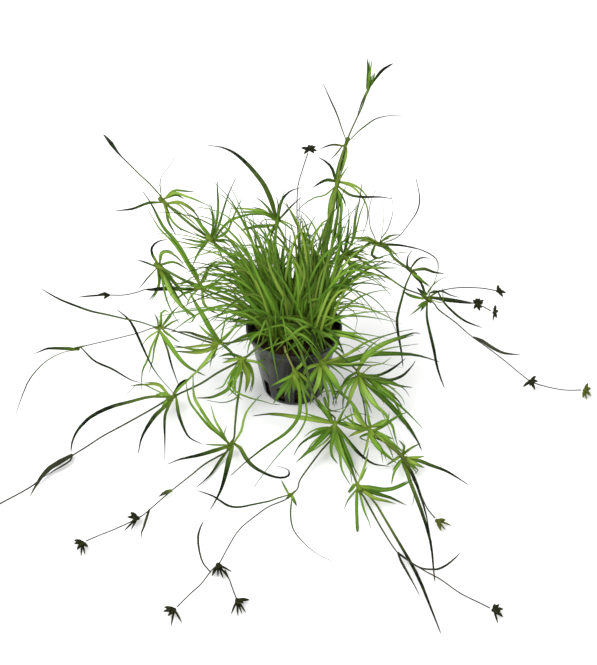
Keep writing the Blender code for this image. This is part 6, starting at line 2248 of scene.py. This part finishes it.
@dataclass
class NetPot:
    """The net pot: a tapered wall with a lip, a whole floor and upright slots round the foot."""

    height: float = 45.4
    lip_radius: float = 27.5
    lip_depth: float = 3.0
    top_radius: float = 25.6
    foot_radius: float = 18.0
    wall: float = 1.1
    floor: float = 1.6
    slots: int = 12
    slot_width: float = 4.4
    slot_low: float = 2.6
    slot_high: float = 14.0
    slot_columns: int = 4
    rib_columns: int = 5
    slot_levels: int = 4
    wall_levels: int = 6
    edge: float = 0.18
    edge_angle: float = math.radians(50)
    sharp_angle: float = math.radians(40)
    kept_off: float = 1.6
    over_soil: float = 4.0

    def radius_at(self, height: float) -> float:
        """The wall's outer radius at a height."""
        wider = self.top_radius - self.foot_radius
        return self.foot_radius + wider * height / (self.height - self.lip_depth)

    def clearance(self, points: np.ndarray, radii: np.ndarray, soil_top: float) -> float:
        """Find the least distance of points from the pot's wall and from the soil.

        Args:
            points: The points.
            radii: The radius that is solid round each.
            soil_top: The height of the soil's surface.

        Returns:
            The distance, less the radii.
        """
        out = np.hypot(points[:, 0], points[:, 1])
        high = points[:, 2]
        low_end = np.array([self.foot_radius - 1.0, 0.0])
        top_end = np.array([self.lip_radius - 1.4, self.height - 0.2])
        wall = top_end - low_end
        spots = np.stack([out, high], axis=1)
        along = np.clip((spots - low_end) @ wall / (wall @ wall), 0.0, 1.0)
        off = np.linalg.norm(spots - low_end - along[:, None] * wall, axis=1) - self.kept_off
        middle = low_end[0] + wall[0] * np.clip(high / self.height, 0.0, 1.0)
        inside = (out < middle) & (high < self.height + self.over_soil)
        off = np.where(inside, np.minimum(off, high - soil_top - GAP), off)
        return float((off - radii).min())

    def outline(self) -> list[tuple[float, float, bool]]:
        """Draw the wall from the outer foot over the lip to the inner foot.

        Returns:
            Its points' radii and heights, and whether a slot starts at each.
        """
        shoulder = self.height - self.lip_depth
        low, high, wall = self.slot_low, self.slot_high, self.wall
        levels = [low + (high - low) * k / self.slot_levels for k in range(self.slot_levels + 1)]
        climb = [high + (shoulder - high) * k / self.wall_levels for k in range(1, self.wall_levels + 1)]
        outer = [(self.foot_radius - 0.6, 0.0, False), (self.foot_radius, 0.6, False)]
        outer += [(self.radius_at(z), z, z < high) for z in levels]
        outer += [(self.radius_at(z), z, False) for z in climb]
        lip, top = self.lip_radius, self.height
        rounded = [(lip - 0.7, shoulder + 0.1), (lip - 0.15, shoulder + 0.45), (lip, shoulder + 1.0),
                   (lip, top - 0.7), (lip - 0.25, top - 0.2), (lip - 0.7, top),
                   (lip - wall - 0.05, top - 0.1), (lip - wall - 0.25, top - 0.5)]
        outer += [(r, z, False) for r, z in rounded]
        inner = [(self.radius_at(z) - wall, z, False) for z in reversed(climb)]
        inner += [(self.radius_at(z) - wall, z, z > low) for z in reversed(levels)]
        inner += [(self.foot_radius - wall, self.floor, False)]
        return outer + inner

    def angles(self, radius: float) -> list[float]:
        """Turn the columns so that each slot stays as wide all the way up.

        Args:
            radius: The radius of their level.

        Returns:
            The columns' turns.
        """
        half = math.asin(self.slot_width / 2 / radius)
        sector = 2 * math.pi / self.slots
        found = []
        for i in range(self.slots):
            middle = sector * (i + 0.25)
            found += [middle - half + 2 * half * k / self.slot_columns for k in range(self.slot_columns)]
            rib = sector - 2 * half
            found += [middle + half + rib * k / self.rib_columns for k in range(self.rib_columns)]
        return found

    def build(self) -> None:
        """Build the pot, dress it and mount it."""
        outline = self.outline()
        count = self.slots * (self.slot_columns + self.rib_columns)
        work = bmesh.new()
        rings = []
        for radius, height, _ in outline:
            turns = self.angles(max(radius, self.foot_radius - self.wall))
            rings.append([work.verts.new((radius * math.cos(t) * MM, radius * math.sin(t) * MM, height * MM))
                          for t in turns])
        for i in range(len(rings) - 1):
            for k in range(count):
                if outline[i][2] and k % (self.slot_columns + self.rib_columns) < self.slot_columns:
                    continue
                j = (k + 1) % count
                work.faces.new((rings[i][k], rings[i][j], rings[i + 1][j], rings[i + 1][k]))
        self.close_slots(work, outline, rings)
        for ring, height in ((rings[0], 0.0), (rings[-1], self.floor)):
            middle = work.verts.new((0.0, 0.0, height * MM))
            for k in range(count):
                work.faces.new((ring[k], ring[(k + 1) % count], middle))
        bmesh.ops.recalc_face_normals(work, faces=work.faces)
        mesh = bpy.data.meshes.new("net_pot")
        work.to_mesh(mesh)
        work.free()
        mesh.materials.append(PLASTIC.material())
        made = linked("net_pot", mesh)
        step = made.modifiers.new("edges", "BEVEL")
        step.width = self.edge * MM
        step.segments = 2
        step.limit_method = "ANGLE"
        step.angle_limit = self.edge_angle
        plain_mesh(made)
        made.data.shade_smooth()
        made.data.set_sharp_from_angle(angle=self.sharp_angle)
        mount(made, "pot")

    def close_slots(self, work: bmesh.types.BMesh, outline: list, rings: list) -> None:
        """Close the slots' sides, sills and heads between the outer and the inner wall.

        Args:
            work: The mesh that is being built.
            outline: The wall's outline.
            rings: The points at each of its levels.
        """
        outer = [i for i, (_, _, slot) in enumerate(outline) if slot and i < len(outline) / 2]
        outer.append(outer[-1] + 1)
        inward = range(len(outline) - 1, 0, -1)
        inner = [next(j for j in inward if outline[j][1] == outline[i][1]) for i in outer]
        period = self.slot_columns + self.rib_columns
        for slot in range(self.slots):
            left, right = slot * period, slot * period + self.slot_columns
            for a, b, c, d in zip(outer, outer[1:], inner, inner[1:]):
                for k in (left, right):
                    work.faces.new((rings[a][k], rings[b][k], rings[d][k], rings[c][k]))
            for a, c in ((outer[0], inner[0]), (outer[-1], inner[-1])):
                for k in range(left, right):
                    work.faces.new((rings[a][k], rings[a][k + 1], rings[c][k + 1], rings[c][k]))


@dataclass
class SoilPlug:
    """The plug of fibrous substrate, with loose fibres on its top."""

    top: float = 42.0
    inset: float = 1.55
    low: float = 1.9
    rings: int = 12
    sides: int = 72
    climb: int = 16
    shoulder: float = 2.0
    round_off: float = 1.2
    bump: float = 0.9
    grain: float = 0.35
    fibres: float = 170000.0
    fibre_depth: float = 3.0
    fibre_length: float = 5.0
    fibre_thickness: float = 0.20
    seed: int = 7

    def build(self, pot: NetPot) -> None:
        """Build the plug, dress it and mount it.

        Args:
            pot: The pot that it fills.
        """
        levels = [(0.0, self.low)]
        levels += [((pot.radius_at(self.low) - self.inset) * s, self.low) for s in (0.5, 0.9)]
        tall = self.top - self.shoulder - self.low
        climb = [self.low + tall * k / self.climb for k in range(self.climb + 1)]
        levels += [(pot.radius_at(z) - self.inset, z) for z in climb]
        rim = pot.radius_at(self.top) - self.inset - self.round_off
        levels += [(rim * (1 - k / self.rings), self.top) for k in range(self.rings)]
        verts, faces = [], []
        for radius, height in levels:
            for k in range(self.sides):
                turn = 2 * math.pi * k / self.sides
                place = Vector((radius * math.cos(turn), radius * math.sin(turn), height))
                rough = noise.fractal(place * self.grain, 0.8, 2.0, 4) * self.bump
                if self.low < height < self.top:
                    place *= (radius + min(rough, 0.2) - 0.2) / radius
                place.z = height + (rough * 1.2 - 0.25 if height == self.top and radius < rim else 0.0)
                verts.append(place * MM)
        for i in range(len(levels) - 1):
            for k in range(self.sides):
                j = (k + 1) % self.sides
                faces.append((i * self.sides + k, i * self.sides + j,
                              (i + 1) * self.sides + j, (i + 1) * self.sides + k))
        last = (len(levels) - 1) * self.sides
        faces.append([last + k for k in range(self.sides)])
        mesh = bpy.data.meshes.new("soil_plug")
        mesh.from_pydata(verts, [], faces)
        work = bmesh.new()
        work.from_mesh(mesh)
        bmesh.ops.remove_doubles(work, verts=work.verts, dist=1e-6)
        bmesh.ops.recalc_face_normals(work, faces=work.faces)
        work.to_mesh(mesh)
        work.free()
        mesh.materials.append(SUBSTRATE.material())
        mesh.shade_smooth()
        made = linked("soil_plug", mesh)
        run_tree(made, self.fibre_tree(), {
            "Density": self.fibres, "Lowest": (self.top - self.fibre_depth) * MM,
            "Length": self.fibre_length * MM, "Thickness": self.fibre_thickness * MM, "Seed": self.seed,
            "Finish": SUBSTRATE.material(),
        })
        mount(made, "soil")

    @staticmethod
    def fibre_tree() -> bpy.types.NodeTree:
        """Build the tree that scatters bent fibres over the plug's top.

        Returns:
            The tree.
        """
        graph = Graph.of_shapes("fibres", {
            "Plug": "Geometry", "Density": "Float", "Lowest": "Float", "Length": "Float",
            "Thickness": "Float", "Seed": "Int", "Finish": "Material",
        }, "Plug")
        given = graph.node("NodeGroupInput").outputs
        place = graph.node("ShaderNodeSeparateXYZ", i0=graph.out("GeometryNodeInputPosition")).outputs
        high = graph.math("GREATER_THAN", place["Z"], given["Lowest"])
        spots = graph.out("GeometryNodeDistributePointsOnFaces", Mesh=given["Plug"], Density=given["Density"],
                          Selection=high, Seed=given["Seed"])
        arc = graph.out("GeometryNodeCurveArc", Resolution=5, Radius=given["Length"], Start_Angle=0.0,
                        Sweep_Angle=1.1)
        outline = graph.out("GeometryNodeCurvePrimitiveCircle", Resolution=3, Radius=given["Thickness"])
        fibre = graph.out("GeometryNodeCurveToMesh", Curve=arc, Profile_Curve=outline, Fill_Caps=True)
        shift = graph.out("ShaderNodeCombineXYZ", X=graph.times(given["Length"], -0.88))
        centred = graph.out("GeometryNodeTransform", Geometry=fibre, Translation=shift)
        turn = graph.out("FunctionNodeRandomValue", {"data_type": "FLOAT_VECTOR"},
                         i0=(-0.35, -0.35, 0.0), i1=(0.35, 0.35, 6.28), Seed=given["Seed"])
        size = graph.node("FunctionNodeRandomValue", {"data_type": "FLOAT"}, i2=0.35, i3=1.1,
                          Seed=given["Seed"]).outputs[1]
        laid = graph.out("GeometryNodeInstanceOnPoints", Points=spots, Instance=centred, Rotation=turn,
                         Scale=size)
        real = graph.out("GeometryNodeRealizeInstances", Geometry=laid)
        marked = graph.out("GeometryNodeStoreNamedAttribute", {"data_type": "FLOAT", "domain": "POINT"},
                           Geometry=real, Name="fibre", Value=1.0)
        graph.finish((given["Plug"], marked), given["Finish"], "Plug")
        return graph.tree


@dataclass
class Studio:
    """A plain pale floor, soft light from the upper left and an even bright surround."""

    floor_size: float = 6.0
    surround: float = 1.0
    key_power: float = 14.0
    key_size: float = 0.9
    key_at: Colour = (-0.75, -0.35, 1.15)
    fill_power: float = 4.0
    fill_at: Colour = (0.9, -0.6, 0.9)

    def build(self) -> None:
        """Set up floor, lights, surround and camera."""
        half = self.floor_size / 2
        mesh = bpy.data.meshes.new("floor")
        mesh.from_pydata([(-half, -half, 0.0), (half, -half, 0.0), (half, half, 0.0), (-half, half, 0.0)], [],
                         [(0, 1, 2, 3)])
        mesh.materials.append(FLOOR.material())
        floor = linked("floor", mesh)
        self.lamp("key", self.key_at, self.key_power, self.key_size)
        self.lamp("fill", self.fill_at, self.fill_power, self.key_size * 1.4)
        world = bpy.data.worlds.new("surround")
        world.use_nodes = True
        back = world.node_tree.nodes["Background"]
        back.inputs["Color"].default_value = (1.0, 1.0, 1.0, 1.0)
        back.inputs["Strength"].default_value = self.surround
        scene = bpy.context.scene
        scene.world = world
        scene.view_settings.view_transform = "Standard"
        scene.camera = VIEW.camera()

    @staticmethod
    def lamp(name: str, at: tuple[float, float, float], power: float, size: float) -> None:
        """Add a soft square lamp that points at the pot.

        Args:
            name: Its name.
            at: Where it stands.
            power: Its power.
            size: Its side.
        """
        data = bpy.data.lights.new(name, "AREA")
        data.energy = power
        data.size = size
        made = linked(name, data)
        made.location = at
        made.rotation_euler = (Vector((0.0, 0.0, 0.04)) - Vector(at)).to_track_quat("-Z", "Y").to_euler()


def keep_size() -> None:
    """Bring the view layer up to date."""
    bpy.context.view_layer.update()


def main() -> None:
    """Build the pot, the soil and the plant, then the studio round them."""
    logging.basicConfig(level=logging.INFO, format="%(message)s")
    pot = NetPot()
    pot.build()
    soil = SoilPlug()
    soil.build(pot)
    Plant(pot, soil.top).build()
    Studio().build()
    keep_size()


if __name__ == "__main__":
    main()
